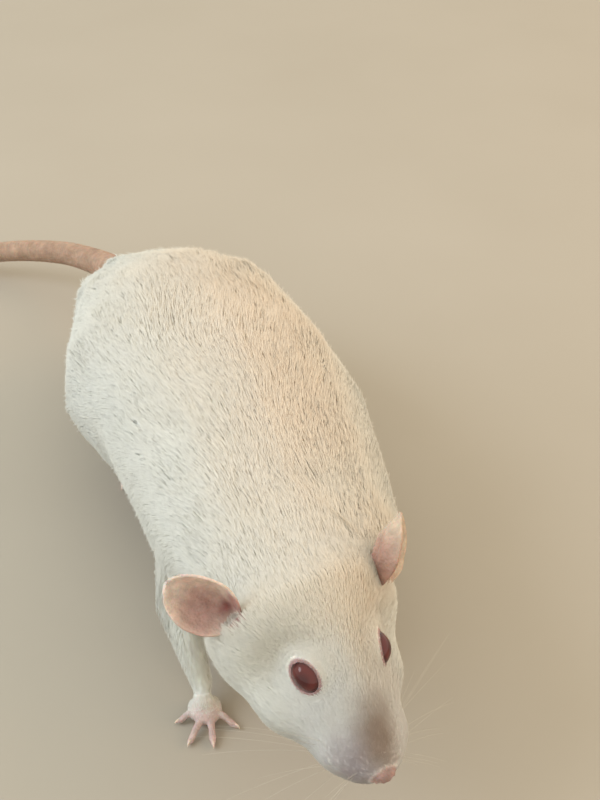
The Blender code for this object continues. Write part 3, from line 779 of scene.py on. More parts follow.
@dataclass
class Ear:
    """One pinna: a thin round dish, rolled into a funnel at its root, with a fold inside."""

    frame: RatFrame
    side: str
    root: Vec3
    axis: Vec3
    face: Vec3
    length: float = 0.0160
    sunk: float = 0.0030
    half_width: float = 0.0076
    cup: float = 0.0036
    # painted shade and warm cast: a darker, warmer tint laid over one ear
    shade_tint: Colour = (1.0, 1.0, 1.0)
    thick: float = 0.00055
    widest: float = 0.52
    root_shares: tuple[float, float] = (0.42, 0.42)
    roll_root: float = 1.15
    roll_tip: float = 0.52
    bowl_out: float = 0.0019
    bowl_radii: Vec3 = (0.0044, 0.0042, 0.0036)
    across: int = 40
    along: int = 44

    def axes(self) -> Matrix:
        """Turn of the ear: X runs from its root to its tip, and Z out of its cup."""
        return basis(self.frame.turn @ Vector(self.face), self.frame.turn @ Vector(self.axis))

    def build(self) -> bpy.types.Object:
        """Make the ear as a closed shell.

        Returns:
            The ear, still a piece of its own.
        """
        axes = self.axes()
        length_way, width_way, normal = (np.array(axes.col[i]) for i in range(3))
        base = np.array(self.frame.from_head(self.root))
        v, u = np.meshgrid(np.linspace(0, 1, self.along), np.linspace(-1, 1, self.across), indexing="ij")
        height = (self.length + self.sunk) * v - self.sunk
        round_tip = np.sqrt(np.clip(1 - np.square((v - self.widest) / (1 - self.widest)), 0, 1))
        share = np.where(u < 0, *self.root_shares)
        opened = share + (1 - share) * np.sin(np.pi / 2 * np.clip(v / self.widest, 0, 1))
        half = np.maximum(self.half_width * np.where(v > self.widest, round_tip, opened), self.thick * 1.2)
        rolled = self.roll_root + (self.roll_tip - self.roll_root) * v
        radius = half / np.sin(rolled)
        sideways = radius * np.sin(u * rolled)
        dip = radius * (1 - np.cos(u * rolled)) - self.cup * (1 - np.square(2 * v - 1)) * (1 - u * u)
        dip = dip + 0.0006 * bell(u - 0.42 + 0.25 * v, 0.13) * ease(v, 0.15, 0.4) * (1 - ease(v, 0.7, 0.95))
        dip = dip - 0.0005 * bell(u - 0.05, 0.3) * bell(v - 0.3, 0.12)
        dip = dip + 0.00025 * np.sin(9 * u + 3 * v) * np.sin(7 * v + u) * ease(v, 0.3, 0.6)
        rim = ease(np.abs(u), 0.86, 1.0) + ease(v, 0.9, 1.0)
        dip = dip - 0.0005 * rim * ease(v, 0.25, 0.5)
        grid = base + height[..., None] * length_way + sideways[..., None] * width_way
        grid = grid + dip[..., None] * normal
        ear = sheet(f"ear_shape_{self.side}", grid)
        apply_modifier(ear, "SOLIDIFY", thickness=self.thick, offset=0.0, use_rim=True)
        return ear

    def canal(self) -> np.ndarray:
        """Where the ear's canal opens."""
        axes = self.axes()
        return np.array(self.frame.from_head(self.root) + axes.col[0] * 0.0008 - axes.col[2] * 0.0010)

    def bowl_middle(self) -> np.ndarray:
        """Middle of the hollow in front of the canal."""
        way = Vector(self.face).normalized() + Vector(self.axis).normalized() + Vector((0.0, 0.0, 0.6))
        way = way * self.bowl_out
        return np.array(self.frame.from_head(Vector(self.root) + way))

    def bowl(self) -> bpy.types.Object:
        """Shape of the hollow at the ear's root, which is cut from the head.

        Returns:
            The hollow, as a closed shape.
        """
        bowl = sphere(f"bowl_{self.side}", 40, 24)
        turn = np.array(self.axes())
        write_points(bowl, read_points(bowl) * np.array(self.bowl_radii) @ turn.T + self.bowl_middle())
        return bowl


@dataclass
class Nose:
    """The bare tip of the nose, with a groove down its middle and two comma-shaped nostrils."""

    frame: RatFrame
    at: Vec3 = (0.0, -0.0252, -0.0060)
    radii: Vec3 = (0.0029, 0.0021, 0.0022)
    nostril_at: Vec3 = (0.0015, -0.0270, -0.0062)
    nostril_depth: float = 0.0010
    groove_depth: float = 0.0004
    wing_rise: float = 0.00022

    def build(self) -> bpy.types.Object:
        """Shape a sphere into the tip of the nose.

        Returns:
            The nose, still a piece of its own.
        """
        nose = sphere("nose_shape", 56, 36)
        local = read_points(nose) * np.array(self.radii)
        front = ease(-local[:, 1], 0.0, 0.0016)
        for side in (1, -1):
            mouth = np.array(mirrored(self.nostril_at, side)) - np.array(self.at)
            apart = local - mouth
            slant = apart[:, 0] * side * 0.5 + apart[:, 2] * 0.86
            over = apart[:, 0] * side * 0.86 - apart[:, 2] * 0.5
            comma = bell(over + 0.25 * slant, 0.00042) * bell(slant, 0.00085)
            local[:, 1] += self.nostril_depth * comma * front
            wing = bell(over - 0.0009, 0.0005) * bell(slant, 0.0012)
            local[:, 1] -= self.wing_rise * wing * front
        groove = bell(local[:, 0], 0.00028) * front * ease(-local[:, 2], -0.001, 0.001)
        local[:, 1] += self.groove_depth * groove
        turn = np.array(self.frame.turn)
        write_points(nose, local @ turn.T + np.array(self.frame.from_head(self.at)))
        return nose


@dataclass
class Eye:
    """One eye and the rim of its lids."""

    frame: RatFrame
    side: str
    radii: Vec3 = (0.0044, 0.0034, 0.0035)
    look: Vec3 = (0.82, -0.32, 0.47)
    canthus: Vec3 = (-0.30, -0.92, -0.10)
    lid_radii: tuple[float, float] = (0.0042, 0.0031)
    lid_thick: float = 0.00022
    lid_out: float = 0.00120
    cornea_rise: float = 0.00025

    def axes(self) -> Matrix:
        """Turn of the eye: Z looks out, and X runs to the front corner of the lids."""
        sign = SIDES[self.side]
        look = self.frame.turn @ Vector(mirrored(self.look, sign))
        return basis(look, self.frame.turn @ Vector(mirrored(self.canthus, sign)))

    def middle(self) -> Vector:
        """Middle of the ball."""
        return self.frame.from_head(mirrored(self.frame.eye_at, SIDES[self.side]))

    def ball(self, name: str, grow: float = 0.0) -> bpy.types.Object:
        """Shape a sphere into the ball, with the cornea a little prouder.

        Args:
            name: The object's name.
            grow: How much larger than the eye it is.

        Returns:
            The ball.
        """
        ball = sphere(name, 48, 32)
        local = read_points(ball)
        outward = np.clip(local[:, 2], 0, 1)
        local = local * (np.array(self.radii) + grow)
        local[:, 2] += self.cornea_rise * outward**6
        turn = np.array(self.axes())
        write_points(ball, local @ turn.T + np.array(self.middle()))
        activate(ball)
        bpy.ops.object.shade_smooth()
        return ball

    def lids(self) -> bpy.types.Object:
        """Rim of the lids: a thin ring, drawn out to a point at both corners.

        Returns:
            The ring, still a piece of its own.
        """
        turn = np.array(self.axes())
        middle = np.array(self.middle()) + turn[:, 2] * self.lid_out
        angle = np.linspace(0, 2 * np.pi, 72, endpoint=False)
        around = np.linspace(0, 2 * np.pi, 12, endpoint=False)
        corner = np.abs(np.cos(angle)) ** 10
        reach_x = (self.lid_radii[0] + 0.00035 * corner) * np.cos(angle)
        reach_y = (self.lid_radii[1] - 0.0001 * corner) * np.sin(angle)
        dip = -0.0011 * np.square(np.cos(angle)) - 0.0002 * corner
        thick = self.lid_thick * (1 + 0.35 * np.sin(angle) ** 2 + 0.06 * np.sin(11 * angle))
        line = np.stack([reach_x, reach_y, dip], -1)
        out = unit(np.stack([np.cos(angle) / self.lid_radii[0], np.sin(angle) / self.lid_radii[1],
                             np.zeros_like(angle)], -1))
        up = np.array([0.0, 0.0, 1.0])
        rings = (line[:, None] + thick[:, None, None] * (np.cos(around)[None, :, None] * out[:, None]
                                                         + np.sin(around)[None, :, None] * up))
        bpy.ops.object.select_all(action="DESELECT")
        bpy.ops.mesh.primitive_torus_add(major_segments=len(angle), minor_segments=len(around))
        lids = bpy.context.object
        lids.name = f"lids_{self.side}"
        write_points(lids, rings.reshape(-1, 3) @ turn.T + middle)
        bpy.ops.object.mode_set(mode="EDIT")
        bpy.ops.mesh.select_all(action="SELECT")
        bpy.ops.mesh.normals_make_consistent(inside=False)
        bpy.ops.object.mode_set(mode="OBJECT")
        return lids


@dataclass
class Tail:
    """The tail: a tapering tube along its route, with a ring of scales at each step."""

    frame: RatFrame
    route_mm: tuple[Vec3, ...] = (
        (-3.5, 63.0, 33.5), (-7.0, 76.0, 31.0), (-12.0, 97.0, 25.0), (-21.5, 118.0, 19.0),
        (-39.0, 135.0, 13.5), (-64.0, 149.0, 6.5), (-92.0, 157.0, 3.0), (-118.0, 156.0, 2.3),
        (-142.0, 147.0, 1.6), (-158.0, 135.0, 1.0),
    )
    radii_mm: tuple[tuple[float, float], ...] = (
        (0.0, 6.2), (0.06, 5.3), (0.2, 4.45), (0.4, 3.85), (0.62, 2.85), (0.85, 1.85), (1.0, 0.75),
    )
    scale_rings: int = 165
    steps_per_ring: int = 3
    sides: int = 22
    scale_rise: float = 0.00022

    def line(self) -> np.ndarray:
        """Middle line of the tail, one row of three for each step."""
        keys = np.array(self.route_mm) * MM + np.array(self.frame.shift)
        return curve_through(keys, self.scale_rings * self.steps_per_ring + 1)

    def build(self) -> bpy.types.Object:
        """Make the tube.

        Returns:
            The tail, still a piece of its own.
        """
        line = self.line()
        count = len(line)
        share = np.linspace(0, 1, count)
        shares, radii = zip(*self.radii_mm)
        radius = np.interp(share, shares, np.array(radii) * MM)
        radius = np.convolve(np.pad(radius, 20, mode="edge"), np.ones(41) / 41, mode="valid")
        phase = (np.arange(count) % self.steps_per_ring) / self.steps_per_ring
        angle = np.linspace(0, 2 * np.pi, self.sides, endpoint=False)
        rows = np.random.default_rng(11).normal(0, 0.14, (count, self.sides))
        ring = np.arange(count) // self.steps_per_ring
        scales = 0.5 + 0.5 * np.cos(angle[None, :] * self.sides / 2 + np.pi * ring[:, None])
        rise = self.scale_rise * np.minimum(1.0, radius / 0.003)[:, None]
        bulge = rise * (phase[:, None] * 1.3 - 0.5 + rows + 0.35 * scales * phase[:, None])
        reach = radius[:, None] + bulge
        rings = along_line(line, reach, reach, angle)
        rings[..., 2] = np.maximum(rings[..., 2], 0.00003)
        return rolled_tube("tail_shape", rings)


@dataclass(frozen=True)
class FootPlan:
    """Where the toes of one kind of foot are, in the left foot's frame, in millimetres."""

    at: Vec3
    turn: float
    toes: tuple[tuple[float, float, float, float], ...]
    claw: float
    claw_radius: float


@dataclass
class Claws:
    """The claws of all four feet."""

    frame: RatFrame
    fore: FootPlan = FootPlan((25.3, -101.5, 0.0), 0.0, (
        (-2.7, -2.4, -40.0, 7.0), (-0.5, -3.6, 10.0, 8.3), (1.7, -3.0, 42.0, 8.2),
        (2.8, 0.0, 82.0, 5.8)), 1.4, 0.46)
    hind: FootPlan = FootPlan((18.5, -8.0, 0.0), 5.0, (
        (-3.6, -5.0, -20.0, 8.6), (-2.3, -9.0, -9.0, 11.0), (0.1, -9.8, 0.0, 11.6), (2.4, -9.0, 9.0, 11.0),
        (3.8, -3.5, 24.0, 8.2)), 2.0, 0.55)
    fore_shift_left: Vec3 = (-4.5, 9.0, 0.0)
    hind_step: dict[str, float] = field(default_factory=lambda: {"left": -4.0, "right": 13.0})

    def toe_ends(self, kind: str, side: str) -> list[tuple[Vector, Vector, FootPlan]]:
        """End of each toe of one foot, and the way that it points.

        Args:
            kind: "fore" or "hind".
            side: "left" or "right".

        Returns:
            Rows of the toe's end, its heading and the foot's plan.
        """
        plan = self.fore if kind == "fore" else self.hind
        sign = SIDES[side]
        middle = Vector(mirrored(plan.at, sign))
        if kind == "fore" and side == "left":
            middle += Vector(self.fore_shift_left)
        if kind == "hind":
            middle.y += self.hind_step[side]
        spin = Matrix.Rotation(math.radians(plan.turn * sign), 3, "Z")
        rows = []
        for x, y, heading, length in plan.toes:
            turned = math.radians(sign * (heading + plan.turn))
            ahead = Vector((math.sin(turned), -math.cos(turned), 0.0))
            end = middle + spin @ Vector((sign * x, y, 0.0)) + ahead * (length - plan.claw)
            rows.append((end * MM + self.frame.shift, ahead, plan))
        return rows

    def one(self, end: Vector, ahead: Vector, plan: FootPlan) -> bpy.types.Object:
        """One claw: a hook that rises from the toe and bends down to its point.

        Args:
            end: The toe's end on the floor.
            ahead: The toe's heading.
            plan: The foot's sizes.

        Returns:
            The claw.
        """
        share = np.linspace(-0.45, 1.0, 12)
        forward = share * plan.claw * MM
        bare = np.clip(share, 0, 1)
        height = 1.25 + 0.28 * np.sin(np.pi * np.clip(share + 0.1, 0, 1)) - 0.75 * np.square(bare)
        radius = plan.claw_radius * MM * np.sqrt(np.clip(1 - bare**1.6, 0.012, 1))[:, None]
        line = np.stack([end.x + ahead.x * forward, end.y + ahead.y * forward, height * MM], -1)
        angle = np.linspace(0, 2 * np.pi, 10, endpoint=False)
        return rolled_tube("claw", along_line(line, radius * 0.72, radius, angle))

    def build(self, material: Material) -> None:
        """Make one piece of claws for each foot.

        Args:
            material: The claws' finish.
        """
        for kind in ("fore", "hind"):
            for side in SIDES:
                claws = [self.one(*toe) for toe in self.toe_ends(kind, side)]
                finish_piece(join(claws, f"claws_{kind}_{side}"), material)


def finish_piece(piece: bpy.types.Object, material: Material, smooth: bool = True) -> None:
    """Give a piece its finish, and let it ride on the body.

    Args:
        piece: The finished mesh object.
        material: Its material.
        smooth: Whether it is shaded smooth.
    """
    piece.data.materials.clear()
    piece.data.materials.append(material)
    if smooth:
        piece.data.shade_smooth()
    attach(piece, ROOT)
    LOG.info("%s: %d faces", piece.name, len(piece.data.polygons))


# The skin


@dataclass(frozen=True)
class Flesh:
    """Colours of the bare parts, with painted shade for the dish and canal of the ears."""

    ear: Colour = (0.72, 0.61, 0.54)
    # painted shade: the darker middle of the ear's dish
    ear_cup_shade: Colour = (0.48, 0.315, 0.285)
    # painted shade: the darkest colour, at the ear's canal
    ear_canal_shade: Colour = (0.24, 0.085, 0.080)
    paw: Colour = (0.51, 0.39, 0.37)
    nose: Colour = (0.34, 0.225, 0.205)
    lid: Colour = (0.34, 0.21, 0.21)
    mouth: Colour = (0.44, 0.27, 0.25)
    tail: Colour = (0.44, 0.30, 0.22)
    tail_dark: Colour = (0.29, 0.185, 0.13)
    parting: Colour = (0.66, 0.50, 0.46)


@dataclass
class Skin:
    """One skin over the whole rat, inside the coat's outer form by the coat's depth."""

    frame: RatFrame
    nodes: dict[str, bpy.types.Object]
    ears: list[Ear]
    eyes: list[Eye]
    nose: Nose
    tail: Tail
    flesh: Flesh = Flesh()
    voxel: float = 0.00055
    paw_voxel: float = 0.00032
    bridge: float = 0.00035
    paw_inset: float = 0.0006
    wrist_taper: float = 0.0012
    body_share: float = 0.17
    parted_at: tuple[float, float] = (-0.009, -0.036)
    parted_reach: float = 0.024
    mouth_mm: tuple[Vec3, ...] = (
        (0.0, -25.4, -11.2), (2.2, -24.2, -12.6), (4.6, -21.2, -13.4), (6.4, -17.4, -13.6),
        (7.6, -13.6, -12.6))
    core: tuple[str, ...] = ("head", "neck", "torso", "foreleg_left", "foreleg_right", "hind_leg_left",
                             "hind_leg_right")
    feet: tuple[str, ...] = ("forepaw_left", "forepaw_right", "hind_foot_left", "hind_foot_right")
    tails: tuple[str, ...] = ("tail_base", "tail_middle", "tail_end", "tail_tip")
    samples: dict[str, np.ndarray] = field(default_factory=dict)
    own: dict[str, np.ndarray] = field(default_factory=dict)

    def merged_copy(self, names: tuple[str, ...], grow: float, label: str) -> bpy.types.Object:
        """Copy nodes, merge their loose triangles, grow each a little and join them.

        Args:
            names: The nodes.
            grow: How far each surface moves outwards, so that the gaps between nodes close.
            label: The new object's name.

        Returns:
            The joined copy.
        """
        copies = []
        for name in names:
            copy = bpy.data.objects.new(f"{label}_{name}", self.nodes[name].data.copy())
            bpy.context.scene.collection.objects.link(copy)
            bm = bmesh.new()
            bm.from_mesh(copy.data)
            bmesh.ops.remove_doubles(bm, verts=bm.verts, dist=1e-6)
            bm.to_mesh(copy.data)
            bm.free()
            write_points(copy, read_points(copy) + read_normals(copy) * grow)
            copies.append(copy)
        return join(copies, label)

    def sample_nodes(self) -> None:
        """Spread points over the surface of each node, for finding what a place belongs to."""
        draw = np.random.default_rng(3)
        for name, node in self.nodes.items():
            points, triangles = read_points(node), read_triangles(node)
            a, b, c = (points[triangles[:, i]] for i in range(3))
            area = np.linalg.norm(np.cross(b - a, c - a), axis=1) / 2
            count = int(area.sum() / 1.6e-6) + 60
            pick = draw.choice(len(triangles), count, p=area / area.sum())
            s, t = draw.random((2, count, 1))
            flip = s + t > 1
            s, t = np.where(flip, 1 - s, s), np.where(flip, 1 - t, t)
            self.samples[name] = a[pick] + (b - a)[pick] * s + (c - a)[pick] * t

    def own_reach(self, points: np.ndarray, name: str) -> np.ndarray:
        """Distance from each point to the nearest vertex of a named shape that was joined to the skin."""
        tree = kd_tree(self.own[name])
        return np.array([tree.find(point)[2] for point in points])

    def nearest(self, points: np.ndarray, names: tuple[str, ...]) -> tuple[np.ndarray, np.ndarray]:
        """Distance from each point to the nearest of some nodes, and which of them it is.

        Args:
            points: The places asked about.
            names: The nodes that count.

        Returns:
            The distances, and the nodes' numbers in names.
        """
        rows = np.vstack([self.samples[name] for name in names])
        owner = np.concatenate([np.full(len(self.samples[name]), i) for i, name in enumerate(names)])
        tree = kd_tree(rows)
        found = [tree.find(point) for point in points]
        return np.array([hit[2] for hit in found]), owner[[hit[1] for hit in found]]

    def depth(self, points: np.ndarray, edges: np.ndarray) -> np.ndarray:
        """Depth of the coat at each point: none at the nose, deepest over the rump.

        Args:
            points: Places on the surface.
            edges: The mesh's edges, to even the depth out.

        Returns:
            One depth for each point.
        """
        rat = self.frame.to_rat(points)
        head = self.frame.to_head(points)
        _, owner = self.nearest(points, self.core + self.feet)
        face = 0.00018 + 0.00090 * ease(head[:, 1], -0.024, 0.006) + 0.0008 * ease(head[:, 1], 0.006, 0.022)
        trunk = 0.0018 + 0.0009 * ease(rat[:, 1], -0.09, -0.02)
        trunk = trunk - 0.0006 * (1 - ease(rat[:, 2], 0.012, 0.030))
        fore = 0.0004 + 0.0020 * ease(rat[:, 2], 0.008, 0.045)
        hind = 0.0006 + 0.0026 * ease(rat[:, 2], 0.008, 0.032)
        choices = [face, np.full(len(points), 0.0018), trunk, fore, fore, hind, hind]
        choices += [np.full(len(points), self.paw_inset)] * len(self.feet)
        depth = spread(np.choose(owner, choices), edges, 14)
        for eye in self.eyes:
            reach = np.linalg.norm(points - np.array(eye.middle()), axis=1)
            depth = depth * (1 - 0.88 * (1 - ease(reach, 0.0042, 0.0080)))
        return depth

    def parting(self, points: np.ndarray) -> np.ndarray:
        """How far the coat parts at each point: along thin wandering lines over the middle of the back.

        Args:
            points: Places on the skin.

        Returns:
            From 0 where the coat is closed to 1 on a line.
        """
        rat = self.frame.to_rat(points)
        here = np.hypot(rat[:, 0] - self.parted_at[0], (rat[:, 1] - self.parted_at[1]) * 0.6)
        mask = bell(here, self.parted_reach) * ease(rat[:, 2], 0.045, 0.06)
        wave = noise_at(points, 75.0, (4.0, 8.0, 0.0))
        return mask * bell(wave, 0.055)

    def build_core(self) -> bpy.types.Object:
        """Make the furred body without ears, nose, lids and tail.

        Returns:
            The body's skin.
        """
        eye_nodes = ("eye_left", "eye_right")
        core = self.merged_copy(self.core + eye_nodes + self.feet, self.bridge, "skin")
        apply_modifier(core, "REMESH", mode="VOXEL", voxel_size=self.voxel)
        keep_largest(core)
        edges = read_edges(core)
        points = read_points(core)
        head = self.frame.to_head(points)
        rat = self.frame.to_rat(points)
        stout = ease(head[:, 1], -0.002, 0.014) * ease(rat[:, 2], 0.014, 0.028)
        points = spread(points, edges, 46, 0.12 + 0.42 * stout)
        write_points(core, points)
        depth = self.depth(points, edges)
        points = points - read_normals(core) * (self.bridge + depth)[:, None]
        points = spread(points, edges, 6, 0.2 + 0.3 * stout)
        points[:, 2] = np.maximum(points[:, 2], 0.0004)
        write_points(core, points)
        group = core.vertex_groups.new(name="plain")
        behind = ease(self.frame.to_head(points)[:, 1], 0.016, 0.03) * ease(points[:, 2], 0.008, 0.014)
        ear_gap, _ = self.nearest(points, ("ear_left", "ear_right"))
        tail_gap, _ = self.nearest(points, self.tails)
        behind = behind * ease(np.minimum(ear_gap, tail_gap), 0.003, 0.007)
        for level in np.linspace(0.25, 1.0, 4):
            chosen = np.nonzero((behind > level - 0.25) & (behind <= level))[0]
            group.add(chosen.tolist(), float(level), "REPLACE")
        apply_modifier(core, "DECIMATE", ratio=self.body_share, vertex_group=group.name,
                       vertex_group_factor=10.0)
        return core

    def build_feet(self) -> bpy.types.Object:
        """Make the feet finer than the body, with their toes rounded.

        Returns:
            The feet's skin.
        """
        feet = self.merged_copy(self.feet, 0.00006, "feet_shape")
        apply_modifier(feet, "REMESH", mode="VOXEL", voxel_size=self.paw_voxel)
        points = spread(read_points(feet), read_edges(feet), 5, 0.5)
        core_gap, _ = self.nearest(points, self.core)
        taper = self.wrist_taper * (1 - ease(core_gap, 0.0004, 0.0045))
        points = points - read_normals(feet) * taper[:, None]
        points[:, 2] = np.maximum(points[:, 2], 0.00003)
        write_points(feet, points)
        ripple = noise_at(points, 900.0)
        write_points(feet, points + read_normals(feet) * (ripple * 0.00007)[:, None])
        apply_modifier(feet, "DECIMATE", ratio=0.30)
        return feet

    def fuse(self, skin: bpy.types.Object, others: list[bpy.types.Object], operation: str) -> None:
        """Join closed shapes to the skin, or cut them from it, and remove them.

        Args:
            skin: The skin.
            others: The shapes.
            operation: "UNION" or "DIFFERENCE".
        """
        group = bpy.data.collections.new("joining")
        bpy.context.scene.collection.children.link(group)
        for other in others:
            group.objects.link(other)
        apply_modifier(skin, "BOOLEAN", operation=operation, operand_type="COLLECTION", collection=group,
                       solver="MANIFOLD")
        for other in others:
            bpy.data.objects.remove(other)
        bpy.data.collections.remove(group)

    def mouth_line(self, skin: bpy.types.Object) -> np.ndarray:
        """Line of the mouth on the skin, from the right corner to the left one.

        Args:
            skin: The skin that it lies on.

        Returns:
            Points along the line.
        """
        half = curve_through(np.array(self.mouth_mm) * MM, 30)
        whole = np.vstack([half[::-1] * (-1, 1, 1), half[1:]])
        tree = BVHTree.FromPolygons(read_points(skin).tolist(), read_triangles(skin).tolist())
        return np.array([tree.find_nearest(self.frame.from_head(tuple(row)))[0] for row in whole])

    def refine(self, skin: bpy.types.Object, chosen: np.ndarray) -> None:
        """Divide the faces whose corners are all chosen.

        Args:
            skin: The skin.
            chosen: Which vertices are chosen.
        """
        bm = bmesh.new()
        bm.from_mesh(skin.data)
        edges = [edge for edge in bm.edges if chosen[edge.verts[0].index] and chosen[edge.verts[1].index]]
        bmesh.ops.subdivide_edges(bm, edges=edges, cuts=1, use_grid_fill=True)
        bmesh.ops.triangulate(bm, faces=bm.faces[:])
        bm.to_mesh(skin.data)
        bm.free()

    def carve_face(self, skin: bpy.types.Object) -> None:
        """Cut the line of the mouth, raise the lips and groove the middle of the upper lip.

        Args:
            skin: The skin.
        """
        line = self.mouth_line(skin)
        points = read_points(skin)
        head = self.frame.to_head(points)
        self.refine(skin, reach_to_line(points, line, head[:, 1] < -0.008) < 0.0016)
        points = read_points(skin)
        normals = read_normals(skin)
        head = self.frame.to_head(points)
        reach = reach_to_line(points, line, head[:, 1] < -0.006)
        push = -0.00055 * bell(reach, 0.00032) + 0.00016 * bell(reach - 0.0009, 0.0005)
        ahead, down = -head[:, 1], -head[:, 2]
        philtrum = bell(head[:, 0], 0.00030) * ease(ahead, 0.0215, 0.0245) * ease(down, 0.0062, 0.0075)
        push = push - 0.00035 * philtrum * (1 - ease(down, 0.0115, 0.013))
        write_points(skin, points + normals * push[:, None])

    def paint_ears(self, points: np.ndarray, core_gap: np.ndarray, lay: Callable) -> None:
        """Paint the ears, with painted shade darker in the dish and darkest at the canal.

        Args:
            points: The skin's vertices.
            core_gap: Their distance from the furred nodes.
            lay: Lays a colour over the vertices by a mask.
        """
        ear_gap, _ = self.nearest(points, ("ear_left", "ear_right"))
        canal = np.min([np.linalg.norm(points - ear.canal(), axis=1) for ear in self.ears], axis=0)
        # painted shade: darkest at the canal, fading out over the dish
        canal_shade_share = np.clip(0.95 * bell(canal, 0.0019) + 0.30 * bell(canal, 0.0050), 0, 1)[:, None]
        lay(ease(core_gap - ear_gap, 0.0004, 0.0022), between(self.flesh.ear, self.flesh.ear_canal_shade, canal_shade_share))
        for ear in self.ears:
            turn = np.array(ear.axes())
            in_ear = (points - np.array(self.frame.from_head(ear.root))) @ turn
            in_ear = in_ear / (ear.length, ear.half_width, 1.0)
            # painted shade: the middle of the dish darker, lighter towards the rim
            rim = ease(np.hypot((in_ear[:, 0] - 0.34) / 0.5, in_ear[:, 1] - 0.45), 0.20, 1.00)[:, None]
            tone = np.array(self.flesh.ear_cup_shade) * (1 - rim) + np.array(self.flesh.ear) * rim
            tone = between(tone * ear.shade_tint, self.flesh.ear_canal_shade, canal_shade_share)
            lay(1 - ease(self.own_reach(points, f"ear_shape_{ear.side}"), 0.0001, 0.0004), tone)
            local = (points - ear.bowl_middle()) @ turn / np.array(ear.bowl_radii)
            # painted shade in the hollow at the ear's root
            hollow = between(self.flesh.ear_cup_shade, self.flesh.ear_canal_shade, canal_shade_share) * ear.shade_tint
            lay(1 - ease(np.linalg.norm(local, axis=1), 1.00, 1.30), hollow)
            # painted shade over the opening of the canal
            opening = 1 - ease(np.linalg.norm(points - ear.canal(), axis=1), 0.0042, 0.0060)
            opening = opening * ease(in_ear[:, 0], -0.02, 0.06) * ease(in_ear[:, 2], -0.0002, 0.0012)
            lay(opening * (1 - ease(np.abs(in_ear[:, 1]), 0.35, 0.65)), hollow)

    def paint(self, skin: bpy.types.Object) -> np.ndarray:
        """Paint the bare parts on the vertices, as the colour attribute "flesh" with bareness as its alpha.

        Args:
            skin: The skin.

        Returns:
            How bare each vertex is.
        """
        points = read_points(skin)
        head = self.frame.to_head(points)
        rat = self.frame.to_rat(points)
        colour = np.tile(np.array([*self.flesh.paw, 0.0]), (len(points), 1))
        core_gap, _ = self.nearest(points, self.core)

        def lay(mask: np.ndarray, paint: Colour | np.ndarray) -> None:
            """Lay a colour over the vertices by a mask."""
            colour[:, :3] += (np.asarray(paint) - colour[:, :3]) * mask[:, None]
            colour[:, 3] = np.maximum(colour[:, 3], mask)

        foot_gap, _ = self.nearest(points, self.feet)
        lay(ease(core_gap - foot_gap, 0.0, 0.0085), self.flesh.paw)
        tail_gap, _ = self.nearest(points, self.tails)
        mottle = (noise_at(points, 160.0) * 0.5 + 0.5)[:, None] ** 1.5
        tail_tone = between(self.flesh.tail, self.flesh.tail_dark, mottle)
        lay(ease(core_gap - tail_gap, -0.0012, 0.0050), tail_tone)
        self.paint_ears(points, core_gap, lay)
        lay(0.75 * self.parting(points), self.flesh.parting)
        from_nose = np.linalg.norm((head - np.array(self.nose.at)) / (1.0, 1.15, 1.0), axis=1)
        tip = 1 - ease(self.own_reach(points, "nose_shape"), 0.0001, 0.0009)
        lay(tip * (1 - ease(from_nose, 0.0032, 0.0040)), self.flesh.nose)
        for eye in self.eyes:
            turn = np.array(eye.axes())
            local = (points - np.array(eye.middle())) @ turn
            ring = np.hypot(local[:, 0] / eye.lid_radii[0], local[:, 1] / eye.lid_radii[1])
            lay((1 - ease(ring, 1.04, 1.20)) * ease(local[:, 2], -0.001, 0.0), self.flesh.lid)
        reach = reach_to_line(points, self.mouth_line(skin), head[:, 1] < -0.006)
        lay(0.85 * bell(reach, 0.0006), self.flesh.mouth)
        layer = skin.data.attributes.new("flesh", "FLOAT_COLOR", "POINT")
        layer.data.foreach_set("color", colour.astype(np.float32).ravel())
        return colour[:, 3]

    def build(self, material: Material) -> tuple[bpy.types.Object, np.ndarray]:
        """Make the whole skin and let it replace the nodes of flesh.

        Args:
            material: The skin's finish.

        Returns:
            The skin, and how bare each of its vertices is.
        """
        self.sample_nodes()
        skin = self.build_core()
        LOG.info("skin core: %d faces", len(skin.data.polygons))
        self.fuse(skin, [ear.bowl() for ear in self.ears], "DIFFERENCE")
        shapes = [self.build_feet(), self.nose.build(), self.tail.build()]
        shapes += [ear.build() for ear in self.ears] + [eye.lids() for eye in self.eyes]
        for shape in shapes:
            self.own[shape.name] = read_points(shape)
            LOG.info("%s: %d faces", shape.name, len(shape.data.polygons))
        self.fuse(skin, shapes, "UNION")
        self.fuse(skin, [eye.ball(f"socket_{eye.side}", 0.00003) for eye in self.eyes], "DIFFERENCE")
        keep_largest(skin)
        self.carve_face(skin)
        bare = self.paint(skin)
        finish_piece(skin, material)
        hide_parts(*self.core, *self.feet, *self.tails, "ear_left", "ear_right")
        return skin, bare


# The coat


@dataclass
class Ground:
    """What grows where: fields over the skin's vertices that the tufts are drawn from."""

    points: np.ndarray
    normals: np.ndarray
    triangles: np.ndarray
    lie: np.ndarray
    depth: np.ndarray
    length: np.ndarray
    width: np.ndarray
    density: np.ndarray
    ruffle: np.ndarray
    region: np.ndarray


TUFT_FACES = ((0, 2, 1), (0, 3, 2), (0, 1, 3), (1, 2, 4), (2, 3, 4), (3, 1, 4))
UNDERSIDE = [1, 4]


